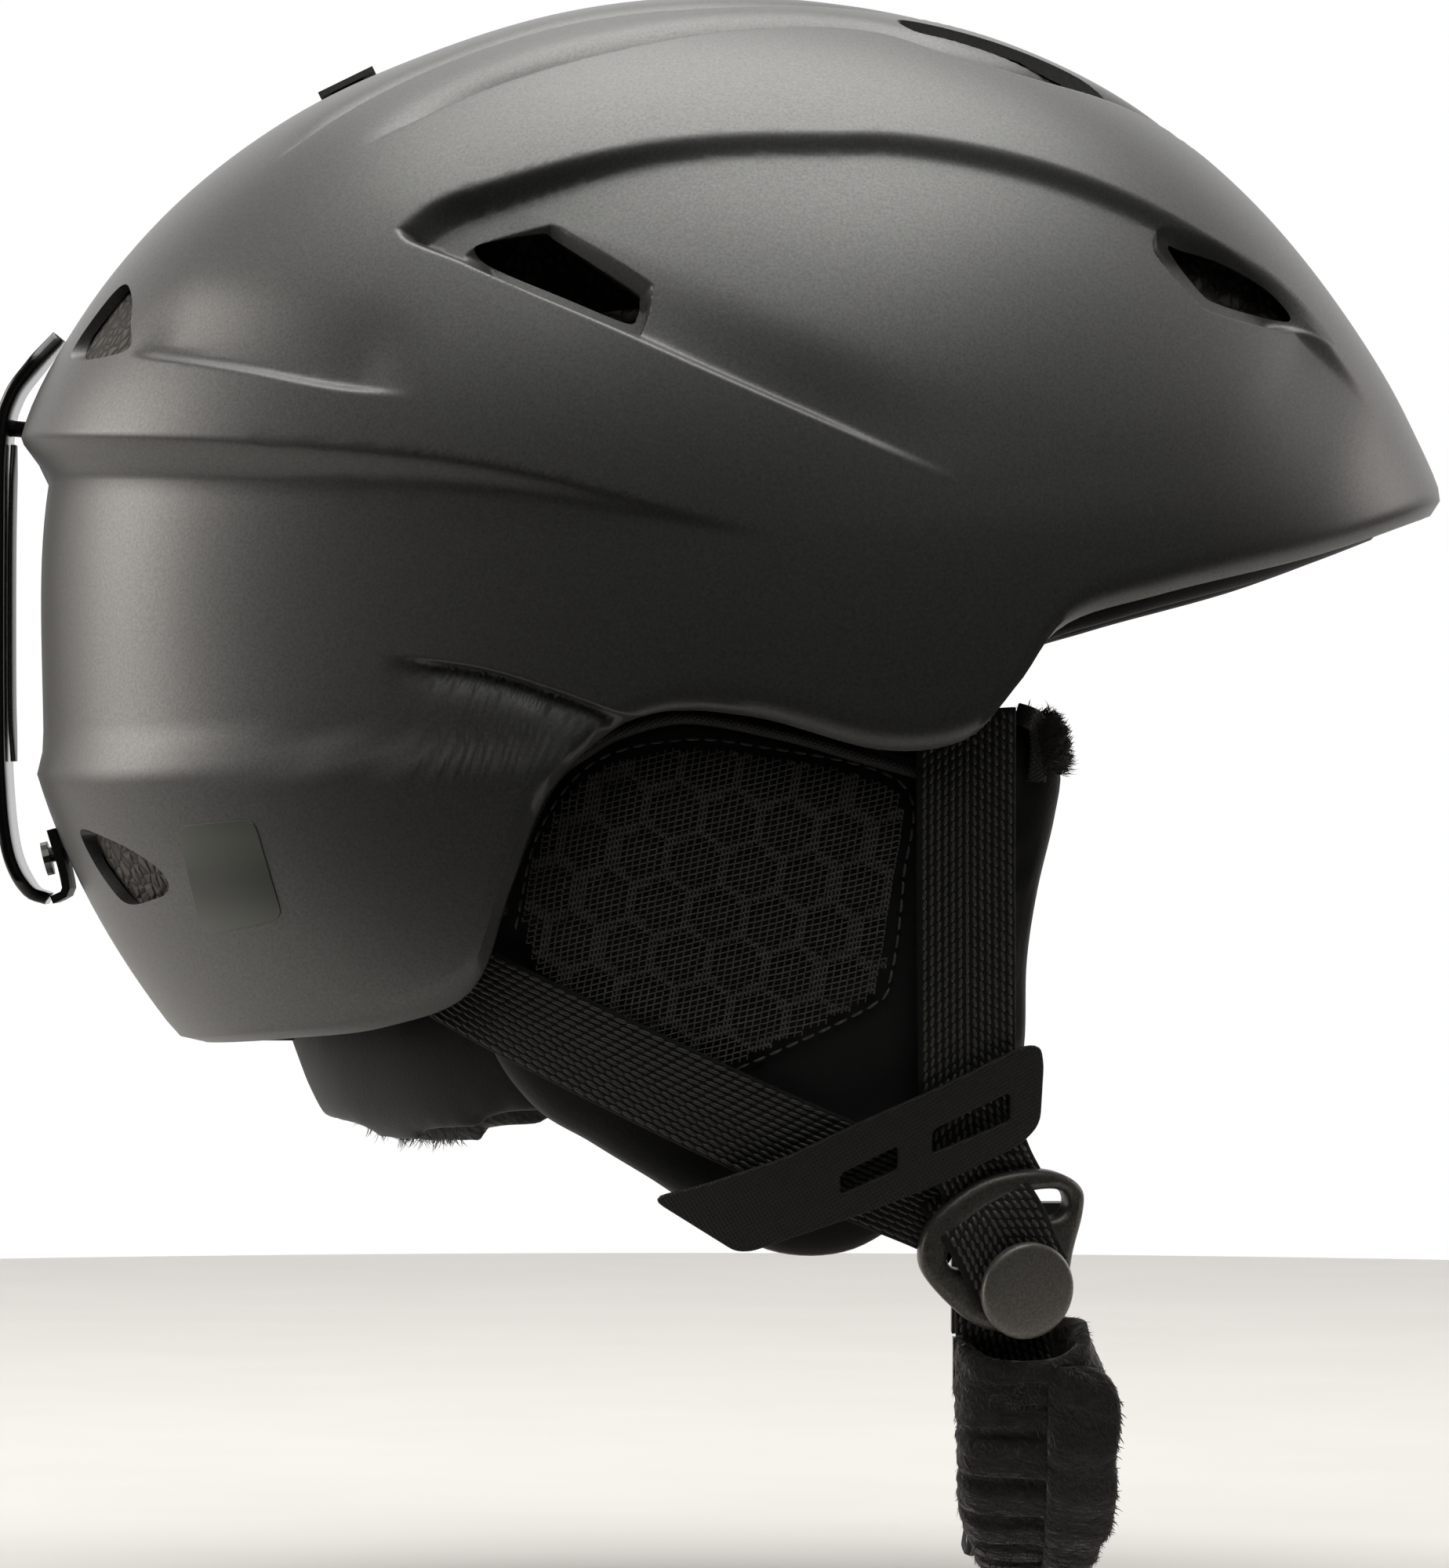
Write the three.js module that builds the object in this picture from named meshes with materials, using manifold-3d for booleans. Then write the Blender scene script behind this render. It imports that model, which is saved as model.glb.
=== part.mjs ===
// A ski helmet: moulded outer shell, foam liner, comfort pads, ear pads, harness, chin strap with a
// push-button buckle, nape fit system with a dial, vent slider and a goggle-strap clip at the back.
// Millimetres. +X is the front, +Y the wearer's left, +Z up. The origin is the centre of the head.
import * as THREE from "three";
import { mergeVertices } from "three/addons/utils/BufferGeometryUtils.js";
import Module from "manifold-3d";

const wasm = await Module();
wasm.setup();

// ---------------------------------------------------------------- driving dimensions

const GAP = 0.4; // air left between two pieces that touch

// Outer shell: the side profile is a radius about a centre on the symmetry plane, by angle in degrees
// (0 = forwards, 90 = up); the section across it is a superellipse.
const CENTRE = new THREE.Vector3(8, 0, 10);
const HALF_WIDTH = 108;
const SQUARENESS = 2.2;
const PROFILE = [
  [-40, 150], [-20, 150], [0, 148.3], [10, 141.5], [20, 134.6], [30, 129.1], [45, 122], [60, 115.7],
  [75, 110.8], [90, 108.8], [105, 109.4], [120, 112.2], [135, 118.7], [150, 126.6], [160, 132.1],
  [170, 137.5], [180, 139.4], [200, 140.7], [223, 143.3], [250, 150], [285, 152],
];
// Lower edge of the shell in side view, from the brim's tip to the nape, [x, z].
const RIM = [
  [155.9, 16.4], [128.5, 6.7], [97.1, -1.4], [77.3, -8], [67, -21.3], [58.2, -30.1], [41.9, -32],
  [16.9, -25.7], [-3.8, -26], [-21.5, -39], [-30.3, -59.6], [-37.7, -78.8], [-55, -86.2],
  [-75.1, -88.9], [-94.9, -90.8],
];
const WALL = 2;
const COLUMNS = 40; // round the rim
const ROWS = 16; // from the rim to the crown
const RIM_TURN = 3; // the rim turns in by this much
const RIM_HEIGHT = 5; // over this height

// Channel round the back that keeps a goggle strap in place: its upper edge in side view and its depth.
const CHANNEL_EDGE = [[-125, 31], [-81, 28], [-36, 23], [5, 13.4], [24, 9]];
const CHANNEL_DEPTH = 7.5;
const CHANNEL_FLOOR_END = -31; // height of the floor's lower end
const CHANNEL_BOTTOM = -35;

// Head cavity of the liner: a superellipsoid, deeper below its middle than above.
const CAVITY = { x: 2, z: 0, length: 103, width: 83, up: 97, down: 190, power: 2.3 };

// Ear side: a curved sheet on which the ear pad, its mesh, the straps and the divider are stacked.
const EAR = { y: 96.4, x: 22, curveBack: 0.0038, curveFront: 0.0045, lean: 0.17, top: -22 };
const LAYER = {
  lining: [-16.4, -12.4], pad: [-12, 0], mesh: [0.4, 1], rearStrap: [1.4, 2.7],
  frontStrap: [3.1, 4.4], divider: [4.8, 5.9], adjuster: [1.4, 4.2], adjusterWeb: [4.6, 6],
};
const WEBBING = 19;

const CHIN = { x: 68, halfWidth: 69.5, top: -142, depth: 47.5, power: 2.6 };
const CHIN_WEB = 1.6;
const CHIN_PAD = { thick: 9, from: 59, to: 86 };

// ---------------------------------------------------------------- colours

const finish = (color, roughness, metalness = 0) =>
  new THREE.MeshStandardMaterial({ color, roughness, metalness });
const MATTE_SHELL = finish(0x6f6d69, 0.5, 0.2);
const FOAM = finish(0x4a4743, 0.9);
const FLEECE = finish(0x141414, 1);
const SOFTSHELL = finish(0x111111, 0.95);
const MESH_FABRIC = finish(0x1c1c1b, 0.9);
const STRAP = finish(0x2a2a29, 0.85);
const RUBBER = finish(0x191919, 0.6);
const PLASTIC = finish(0x232323, 0.5);
const SATIN = finish(0x4c4b48, 0.4);
const STEEL = finish(0x9a9a98, 0.35, 0.9);
const LABEL = finish(0x5c605e, 0.4);

// ---------------------------------------------------------------- geometry tools

const smooth = (t) => {
  const c = Math.min(1, Math.max(0, t));
  return c * c * (3 - 2 * c);
};

// Value at x of a smooth curve through [x, value] pairs with rising x.
function through(pairs, x) {
  const last = pairs.length - 1;
  if (x <= pairs[0][0]) return pairs[0][1];
  if (x >= pairs[last][0]) return pairs[last][1];
  const i = pairs.findIndex((p) => p[0] > x) - 1;
  const slope = (a, b) => (pairs[b][1] - pairs[a][1]) / (pairs[b][0] - pairs[a][0]);
  const [x0, y0] = pairs[i];
  const [x1, y1] = pairs[i + 1];
  const h = x1 - x0;
  const t = (x - x0) / h;
  const m0 = slope(Math.max(0, i - 1), i + 1) * h;
  const m1 = slope(i, Math.min(last, i + 2)) * h;
  const t2 = t * t;
  const t3 = t2 * t;
  return (2 * t3 - 3 * t2 + 1) * y0 + (t3 - 2 * t2 + t) * m0 + (3 * t2 - 2 * t3) * y1 + (t3 - t2) * m1;
}

function solidOf(geometry) {
  const bare = geometry.clone();
  bare.deleteAttribute("normal");
  bare.deleteAttribute("uv");
  const merged = mergeVertices(bare, 1e-4);
  return new wasm.Manifold(
    new wasm.Mesh({
      numProp: 3,
      vertProperties: new Float32Array(merged.attributes.position.array),
      triVerts: new Uint32Array(merged.index.array),
    }),
  );
}

function geometryOf(solid) {
  const mesh = solid.getMesh();
  const geometry = new THREE.BufferGeometry();
  geometry.setAttribute("position", new THREE.BufferAttribute(new Float32Array(mesh.vertProperties), 3));
  geometry.setIndex(new THREE.BufferAttribute(new Uint32Array(mesh.triVerts), 1));
  geometry.computeVertexNormals();
  return geometry;
}

const unite = (...parts) => parts.reduce((a, b) => a.add(b));

// Solid from points and faces given as lists of corner numbers.
function faceted(points, faces) {
  const geometry = new THREE.BufferGeometry();
  const index = faces.flatMap((f) => f.slice(2).flatMap((_, k) => [f[0], f[k + 1], f[k + 2]]));
  geometry.setAttribute("position", new THREE.Float32BufferAttribute(points.flat(), 3));
  geometry.setIndex(index);
  const solid = solidOf(geometry);
  if (solid.volume() > 0) return solid;
  geometry.setIndex(index.reverse());
  return solidOf(geometry);
}

// Prism of an outline in side view [x, z] ("y"), back view [y, z] ("x") or plan [x, y] ("z").
const PRISM_BASES = {
  x: [[0, 1, 0], [0, 0, 1], [1, 0, 0]],
  y: [[1, 0, 0], [0, 0, 1], [0, -1, 0]],
  z: [[1, 0, 0], [0, 1, 0], [0, 0, 1]],
};
function prism(outline, axis, from, to) {
  const shape = new THREE.Shape(outline.map(([a, b]) => new THREE.Vector2(a, b)));
  const extruded = new THREE.ExtrudeGeometry(shape, { depth: to - from, bevelEnabled: false });
  const [right, up, out] = PRISM_BASES[axis].map((v) => new THREE.Vector3(...v));
  extruded.applyMatrix4(new THREE.Matrix4().makeBasis(right, up, out));
  if (axis === "y") extruded.translate(0, to, 0);
  if (axis === "x") extruded.translate(from, 0, 0);
  if (axis === "z") extruded.translate(0, 0, from);
  return solidOf(extruded);
}

const box = (x0, x1, y0, y1, z0, z1) => prism([[x0, y0], [x1, y0], [x1, y1], [x0, y1]], "z", z0, z1);

// Round piece turned about an axis from point `at` along `along`: [distance along it, radius] pairs.
function turned(at, along, profile, sides = 20) {
  const points = [[profile[0][0], 0], ...profile, [profile[profile.length - 1][0], 0]];
  const lathe = new THREE.LatheGeometry(points.map(([h, r]) => new THREE.Vector2(r, h)), sides);
  const turn = new THREE.Quaternion().setFromUnitVectors(
    new THREE.Vector3(0, 1, 0),
    new THREE.Vector3(...along).normalize(),
  );
  lathe.applyQuaternion(turn);
  lathe.translate(...at);
  return solidOf(lathe);
}

// Strip of even thickness along a path in a plane, as an outline.
function stripOutline(path, thickness) {
  const edge = (sign) =>
    path.map((p, i) => {
      const a = path[Math.max(0, i - 1)];
      const b = path[Math.min(path.length - 1, i + 1)];
      const length = Math.hypot(b[0] - a[0], b[1] - a[1]);
      const shift = (sign * thickness) / 2 / length;
      return [p[0] - (b[1] - a[1]) * shift, p[1] + (b[0] - a[0]) * shift];
    });
  return [...edge(-1), ...edge(1).reverse()];
}

// Points along a smooth curve through a few given ones, all in one plane.
function curve(points, count) {
  const line = new THREE.CatmullRomCurve3(points.map(([a, b]) => new THREE.Vector3(a, b, 0)));
  return line.getSpacedPoints(count).map((p) => [p.x, p.y]);
}

const mirrored = (solid) => solid.mirror([0, 1, 0]);
const bothSides = (solid) => solid.add(mirrored(solid));

// ---------------------------------------------------------------- shell surface

function profileRadius(degrees) {
  const wrapped = ((degrees + 40) % 360 + 360) % 360 - 40;
  const closed = [...PROFILE.slice(-1).map(([a, r]) => [a - 360, r]), ...PROFILE,
    ...PROFILE.slice(0, 2).map(([a, r]) => [a + 360, r])];
  return through(closed, wrapped);
}

// Distance from the centre to the smooth shell along a direction.
function shellRadius(dir) {
  const inPlane = Math.hypot(dir.x, dir.z);
  const radius = profileRadius(THREE.MathUtils.radToDeg(Math.atan2(dir.z, dir.x)));
  const sum = (inPlane / radius) ** SQUARENESS + (Math.abs(dir.y) / HALF_WIDTH) ** SQUARENESS;
  return sum ** (-1 / SQUARENESS);
}

// Half width of the smooth shell at a place in side view.
function shellHalfWidth(x, z) {
  const dx = x - CENTRE.x;
  const dz = z - CENTRE.z;
  const radius = profileRadius(THREE.MathUtils.radToDeg(Math.atan2(dz, dx)));
  const left = 1 - (Math.hypot(dx, dz) / radius) ** SQUARENESS;
  return HALF_WIDTH * Math.max(0, left) ** (1 / SQUARENESS);
}

// How far the strap channel lies below the smooth shell at a place in side view.
function channelDepth(x, z) {
  const fade = smooth((24 - x) / 120);
  const below = through(CHANNEL_EDGE, x) - z;
  const ramp = 3 + 7 * fade;
  const floor = smooth(below / ramp);
  const recover = 1 - 0.67 * Math.min(1, Math.max(0, (below - ramp) / (CHANNEL_EDGE[0][1] - ramp -
    CHANNEL_FLOOR_END)));
  const end = smooth((z - CHANNEL_BOTTOM) / (CHANNEL_FLOOR_END - CHANNEL_BOTTOM));
  return CHANNEL_DEPTH * fade * floor * recover * end;
}

// Directions from the centre for each column and row: columns start evenly along the rim, and meet at
// the crown.
function shellDirections() {
  const side = new THREE.CatmullRomCurve3(RIM.map(([x, z]) => new THREE.Vector3(x, 0, z)));
  const fine = side.getSpacedPoints(400).map((p) => new THREE.Vector3(p.x, shellHalfWidth(p.x, p.z), p.z));
  fine[0].y = 0;
  fine[fine.length - 1].y = 0;
  const run = [0];
  for (let i = 1; i < fine.length; i++) run.push(run[i - 1] + fine[i].distanceTo(fine[i - 1]));
  const half = COLUMNS / 2;
  const starts = [];
  for (let c = 0; c <= half; c++) {
    const goal = (run[run.length - 1] * c) / half;
    const i = Math.min(fine.length - 2, Math.max(0, run.findIndex((r) => r > goal) - 1));
    const t = (goal - run[i]) / (run[i + 1] - run[i]);
    starts.push(c === half ? fine[fine.length - 1] : fine[i].clone().lerp(fine[i + 1], t));
  }
  const right = starts.slice(1, half).reverse().map((p) => new THREE.Vector3(p.x, -p.y, p.z));
  const up = new THREE.Vector3(0, 0, 1);
  return [...starts, ...right].map((start) => {
    const first = start.clone().sub(CENTRE);
    const turnAxis = new THREE.Vector3().crossVectors(first, up).normalize();
    const span = first.angleTo(up);
    const firstStep = RIM_HEIGHT / first.length() / span;
    first.normalize();
    return Array.from({ length: ROWS }, (_, row) => {
      const share = row === 0 ? 0 : firstStep + ((row - 1) / (ROWS - 1)) * (1 - firstStep);
      return first.clone().applyAxisAngle(turnAxis, share * span);
    });
  });
}

const DIRECTIONS = shellDirections();
const UP = new THREE.Vector3(0, 0, 1);

function shellPoint(dir, inset, turnIn) {
  const smoothPoint = dir.clone().multiplyScalar(shellRadius(dir)).add(CENTRE);
  const depth = inset + turnIn + channelDepth(smoothPoint.x, smoothPoint.z);
  return smoothPoint.addScaledVector(dir, -depth).toArray();
}

// Distance from the shell's centre to the wall of the head cavity along a direction.
function cavityRadius(dir) {
  let near = 0;
  let far = 250;
  for (let i = 0; i < 40; i++) {
    const r = (near + far) / 2;
    const x = CENTRE.x + dir.x * r - CAVITY.x;
    const z = CENTRE.z + dir.z * r - CAVITY.z;
    const sum = Math.abs(x / CAVITY.length) ** CAVITY.power + Math.abs((dir.y * r) / CAVITY.width) **
      CAVITY.power + Math.abs(z / (z > 0 ? CAVITY.up : CAVITY.down)) ** CAVITY.power;
    if (sum > 1) far = r;
    else near = r;
  }
  return near;
}

function cavityPoint(dir, inset) {
  return dir.clone().multiplyScalar(cavityRadius(dir) - inset).add(CENTRE).toArray();
}

const CAVITY_ROW_STEP = 3;
const rowsFrom = (first, step = 1) =>
  Array.from({ length: Math.ceil((ROWS - first) / step) }, (_, i) => first + step * i);

const CAVITY_ROWS = rowsFrom(1, CAVITY_ROW_STEP);

// Closed dome between an outer and an inner surface; each is a function of direction and row.
function dome(outer, inner, outerRows, innerRows) {
  const points = [];
  const faces = [];
  const layer = (surface, rows) => {
    const start = points.length;
    for (const row of rows) for (const column of DIRECTIONS) points.push(surface(column[row], row));
    points.push(surface(UP, ROWS));
    return start;
  };
  const bands = [[layer(outer, outerRows), outerRows.length, false], [layer(inner, innerRows),
    innerRows.length, true]];
  for (const [start, rows, flip] of bands) {
    const put = ([first, ...rest]) => faces.push([first, ...(flip ? rest.reverse() : rest)]);
    for (let c = 0; c < COLUMNS; c++) {
      const n = (c + 1) % COLUMNS;
      for (let r = 0; r < rows - 1; r++) {
        const a = start + r * COLUMNS;
        put([a + c, a + n, a + COLUMNS + n, a + COLUMNS + c]);
      }
      const top = start + (rows - 1) * COLUMNS;
      put([top + c, top + n, start + rows * COLUMNS]);
    }
  }
  const inside = bands[1][0];
  for (let c = 0; c < COLUMNS; c++) {
    const n = (c + 1) % COLUMNS;
    faces.push([n, c, inside + c, inside + n]);
  }
  return faceted(points, faces);
}

// ---------------------------------------------------------------- vents

// Outlines on one side: [axis they are cut along, outline, from, to].
const VENTS = [
  ["y", [[-35.6, 63.3], [-30.4, 65.7], [-23, 66.6], [-6, 56.5], [-4.5, 51], [-7.1, 49.7]], 50, 125],
  ["y", [[96.7, 65.5], [107.2, 62.5], [116.2, 57.3], [120.7, 51.2], [107.2, 55.3], [101, 58.5]], 30, 110],
  ["z", [[46, 30], [50, 37], [70, 36], [89, 30], [91, 24], [78, 24], [60, 27]], 60, 130],
  ["z", [[3, 8], [6, 15], [32, 15], [37, 8]], 80, 130],
  ["x", [[30, 46], [57, 46], [52, 58], [42, 63], [30, 58]], -140, -60],
  ["x", [[36, -47], [50, -49], [60, -57], [56, -60], [41, -60]], -140, -70],
];
const ventCuts = () => unite(...VENTS.map(([axis, outline, from, to]) =>
  bothSides(prism(outline, axis, from, to))));

// ---------------------------------------------------------------- shell and liner

// Slot on the ridge behind the crown, along which the vent slider runs.
const SLIDER_ANGLE = 128;
const sliderRadians = THREE.MathUtils.degToRad(SLIDER_ANGLE);
const sliderDir = new THREE.Vector3(Math.cos(sliderRadians), 0, Math.sin(sliderRadians));
const sliderAt = CENTRE.clone().addScaledVector(sliderDir, shellRadius(sliderDir));
const SLIDE_SLOPE = THREE.MathUtils.degToRad(26);
const SLIDE_ALONG = new THREE.Vector3(Math.cos(SLIDE_SLOPE), 0, Math.sin(SLIDE_SLOPE));
const SLIDE_OUT = new THREE.Vector3(-Math.sin(SLIDE_SLOPE), 0, Math.cos(SLIDE_SLOPE));

// Block given along the slide, across it and out from the shell, about the slider's place.
function slideBlock(along0, along1, across, out0, out1, middle = 0) {
  const corner = (a, y, o) => sliderAt.clone().addScaledVector(SLIDE_ALONG, a)
    .addScaledVector(SLIDE_OUT, o).add(new THREE.Vector3(0, y, 0)).toArray();
  const points = [];
  for (const a of [along0, along1])
    for (const y of [middle - across, middle + across])
      for (const o of [out0, out1]) points.push(corner(a, y, o));
  return faceted(points, [[0, 1, 3, 2], [4, 6, 7, 5], [0, 4, 5, 1], [2, 3, 7, 6], [0, 2, 6, 4], [1, 5, 7, 3]]);
}

function outerShell() {
  const turn = (row) => (row === 0 ? RIM_TURN : 0);
  const shell = dome(
    (dir, row) => shellPoint(dir, 0, turn(row)),
    (dir, row) => shellPoint(dir, WALL, turn(row)),
    rowsFrom(0),
    rowsFrom(0),
  );
  const studHole = turned([-135, 0, 33], [1, 0, 0], [[0, 2], [15, 2]], 10);
  const anchorHole = turned([-125, 0, CLIP_SCREW_Z], [1, 0, 0], [[0, 2.2], [15, 2.2]], 10);
  return shell.subtract(ventCuts()).subtract(slideBlock(-12, 12, 2.5, -8, 8))
    .subtract(studHole).subtract(anchorHole);
}

function epsLiner() {
  const liner = dome(
    (dir) => shellPoint(dir, WALL + GAP, 0),
    (dir) => cavityPoint(dir, 0),
    rowsFrom(1),
    CAVITY_ROWS,
  );
  const dialPocket = box(-120, -60, -26, 26, -100, -57);
  const shutterPocket = slideBlock(-24, 24, 13, -10, 8);
  const studPocket = box(-135, -115, -6, 6, 27, 39);
  const anchorPocket = box(-125, -104, -6, 6, CLIP_SCREW_Z - 5, CLIP_SCREW_Z + 5);
  const strapPockets = bothSides(unite(
    prism(FRONT_STRAP_POCKET, "y", 84, 112),
    prism(REAR_STRAP_POCKET, "y", 60, 112),
  ));
  const cuts = unite(dialPocket, shutterPocket, studPocket, anchorPocket, strapPockets, ventCuts());
  return liner.subtract(cuts);
}

// ---------------------------------------------------------------- ear side

function earY(x, z) {
  const curveAt = x < EAR.x ? EAR.curveBack : EAR.curveFront;
  return EAR.y - curveAt * (x - EAR.x) ** 2 - EAR.lean * Math.max(0, EAR.top - z);
}

// Piece of a given side-view outline on the left ear side, between two distances from the sheet.
function onEar(outline, [inner, outer], holes = []) {
  const xs = Array.from({ length: 19 }, (_, i) => -80 + 10 * i);
  const zs = [-150, EAR.top, 0];
  const points = [];
  for (const offset of [inner, outer])
    for (const z of zs) for (const x of xs) points.push([x, earY(x, z) + offset, z]);
  const at = (o, j, i) => (o * zs.length + j) * xs.length + i;
  const faces = [];
  for (let j = 0; j < zs.length - 1; j++)
    for (let i = 0; i < xs.length - 1; i++) {
      faces.push([at(0, j, i), at(0, j, i + 1), at(0, j + 1, i + 1), at(0, j + 1, i)]);
      faces.push([at(1, j, i), at(1, j + 1, i), at(1, j + 1, i + 1), at(1, j, i + 1)]);
    }
  for (let i = 0; i < xs.length - 1; i++) {
    faces.push([at(0, 0, i), at(1, 0, i), at(1, 0, i + 1), at(0, 0, i + 1)]);
    faces.push([at(0, 2, i), at(0, 2, i + 1), at(1, 2, i + 1), at(1, 2, i)]);
  }
  for (let j = 0; j < zs.length - 1; j++) {
    faces.push([at(0, j, 0), at(0, j + 1, 0), at(1, j + 1, 0), at(1, j, 0)]);
    faces.push([at(0, j, 18), at(1, j, 18), at(1, j + 1, 18), at(0, j + 1, 18)]);
  }
  let piece = faceted(points, faces).intersect(prism(outline, "y", 10, 140));
  for (const hole of holes) piece = piece.subtract(prism(hole, "y", 10, 140));
  return piece;
}

// Round piece standing on the ear side at a distance from the sheet, square to it.
function onEarDisc(x, z, height, profile) {
  const curveAt = x < EAR.x ? EAR.curveBack : EAR.curveFront;
  const out = [2 * curveAt * (x - EAR.x), 1, z < EAR.top ? -EAR.lean : 0];
  return turned([x, earY(x, z) + height + 2 * GAP, z], out, profile, 24);
}

const ANCHOR = [[0, 5], [1.8, 5]];
const EAR_PAD = [
  [78.9, -23.6], [79, -31], [76.5, -42], [72.4, -60], [70.3, -72], [70.2, -90], [67, -103], [49.5, -120.6],
  [43.6, -125], [36.2, -127.7], [24.3, -128.5], [13.9, -125], [-2.4, -114.7], [-15, -106], [-24, -98],
  [-29, -84], [-28.5, -62], [-25.5, -50], [-19.5, -40.5], [-11.5, -32], [-3.5, -28.2], [5, -26.6],
  [17, -27.8], [31.6, -31.5], [42, -34], [50, -34.4], [59.5, -32], [66.5, -25.6],
];
const EAR_MESH = [
  [-21.5, -44], [-12.5, -34.5], [0.6, -31], [17, -32], [43, -39.5], [41.4, -70.5], [39, -77.5], [8, -91.5],
  [-29, -67],
];
const FRONT_STRAP = [[48.3, -12], [67.3, -12], [67.6, -109.5], [48.6, -109.5]];
const FRONT_STRAP_POCKET = [[47, -5], [69, -5], [69, -40], [47, -40]];
const REAR_STRAP = [[-58, -57], [-34, -70], [33, -102], [49, -112], [46, -125], [15, -112.5], [-43, -82],
  [-62, -71]];
const REAR_STRAP_POCKET = [[-65, -52], [-20, -58], [-20, -95], [-67, -95]];
const DIVIDER = [
  [-1.7, -115.3], [8, -112.7], [22.9, -107.5], [37.8, -100.1], [52.7, -93.4], [67.6, -85.9],
  [68.8, -86.7], [68.8, -103.1], [66.1, -105.3], [52.7, -112], [37.8, -118], [16.9, -125.4],
  [13.9, -125.4],
];
const DIVIDER_SLOTS = [
  [[33, -110.5], [43.4, -105.3], [43.4, -109.8], [33, -114.5]],
  [[49.7, -102.3], [63.9, -95.3], [63.9, -100.8], [49.7, -106.8]],
];
const ADJUSTER = [
  [49.5, -126.5], [50.6, -121.2], [54.3, -116.7], [60.3, -112.5], [66.3, -111], [72.3, -110.8],
  [76.7, -111.8], [79.4, -114.5], [79.4, -118.2], [77.9, -125.7], [76.5, -136], [70, -141], [61, -140.7],
  [55.8, -137], [50.6, -131],
];
const ADJUSTER_SLOT = [[56, -124], [61, -118.5], [68, -115.5], [74.5, -115.5], [75, -119], [69, -120.5],
  [62, -125], [58.5, -129]];
const ADJUSTER_WEB = [[60, -123.5], [67, -118.5], [76, -121.5], [72, -131], [62, -134]];
const DISC = { x: 69.3, z: -133.5, radius: 9, thick: 2.4 };

// ---------------------------------------------------------------- chin strap and buckle

function chinPath(count) {
  return Array.from({ length: count + 1 }, (_, i) => {
    const a = Math.PI + (Math.PI * i) / count;
    const c = Math.cos(a);
    const s = Math.sin(a);
    return [
      CHIN.halfWidth * Math.sign(c) * Math.abs(c) ** (2 / CHIN.power),
      CHIN.top - CHIN.depth * Math.abs(s) ** (2 / CHIN.power),
    ];
  });
}

const STRIP_POINTS = 40;
function chinStrap() {
  const path = chinPath(STRIP_POINTS).filter(([y, z]) => z < CHIN.top - 1 && (y < 0 || z < -164));
  return prism(stripOutline(path, CHIN_WEB), "x", CHIN.x - WEBBING / 2, CHIN.x + WEBBING / 2);
}

function chinPad() {
  const path = chinPath(STRIP_POINTS).filter(([y, z]) => z < CHIN.top - 2 && (y < 0 || z < -170));
  const sleeve = prism(stripOutline(path, CHIN_PAD.thick), "x", CHIN_PAD.from, CHIN_PAD.to);
  const through = prism(stripOutline(chinPath(STRIP_POINTS), CHIN_WEB + 2 * GAP), "x",
    CHIN.x - WEBBING / 2 - GAP, CHIN.x + WEBBING / 2 + GAP);
  const clear = through.subtract(box(40, 100, 0, 200, -158, -100)).subtract(box(40, 100, -200, 0, CHIN.top,
    -100));
  return sleeve.subtract(clear);
}

// The buckle stands upright on the left end of the strap, and its tongue goes in from below.
const BUCKLE = { x: 70, y: 69.5, thick: 9, width: 23, bottom: -151, top: -124, tip: -136, button: -143 };

function buckleSocket() {
  const { x, y, thick, width, bottom, top, tip, button } = BUCKLE;
  const body = box(x - width / 2, x + width / 2, y - thick / 2, y + thick / 2, bottom, top);
  const mouth = box(x - 9.5, x + 9.5, y - 2.6, y + 2.6, bottom - 1, tip + 1.5);
  const barSlot = box(x - 10, x + 10, y - 10, y + 10, -130.5, -127);
  const buttonHole = turned([x, y, button], [0, 1, 0], [[0, 5.5], [10, 5.5]], 20);
  return body.subtract(mouth).subtract(barSlot).subtract(buttonHole);
}

// Webbing from the left divider down to the bar at the top of the socket.
function strapTail() {
  const clear = (z) => earY(50, z) + 1.8;
  const path = [[clear(-111), -111], [clear(-119), -119], [BUCKLE.y + 1, BUCKLE.top + 2 * GAP]];
  return prism(stripOutline(curve(path, 6), 1.3), "x", 50, 50 + WEBBING);
}

function buckleTongue() {
  const { x, y, bottom, tip, button } = BUCKLE;
  const blade = box(x - 8.6, x + 8.6, y - 1.6, y + 1.6, bottom - 3, tip);
  const base = box(x - 11.2, x + 11.2, y - 3.5, y + 3.5, bottom - 11, bottom - 1);
  const barSlot = box(x - 9.7, x + 9.7, y - 10, y + 10, bottom - 9.2, bottom - 5.5);
  const catchHole = turned([x, y - 5, button], [0, 1, 0], [[0, 5.5], [10, 5.5]], 20);
  return blade.add(base).subtract(barSlot).subtract(catchHole);
}

function buckleButton() {
  const { x, y, button } = BUCKLE;
  return turned([x, y + 2.1, button], [0, 1, 0], [[0, 4.9], [3.4, 4.9], [4, 4.2]], 20);
}

// ---------------------------------------------------------------- goggle clip

const CLIP_PATH = [
  [-120.8, 51.5], [-125.8, 45.5], [-130, 39.5], [-132, 31.2], [-132.4, 9.4], [-132.4, -21.9],
  [-132, -38], [-130.4, -51], [-126.8, -58.4], [-123, -60.3],
];
const TAB_PATH = [[-121.9, -60.5], [-119.2, -59], [-119.4, -56], [-122.1, -46.5]];
const CLIP = { thick: 2.4, halfWidth: 10 };
const CLIP_SCREW_Z = -51.5;

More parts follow.
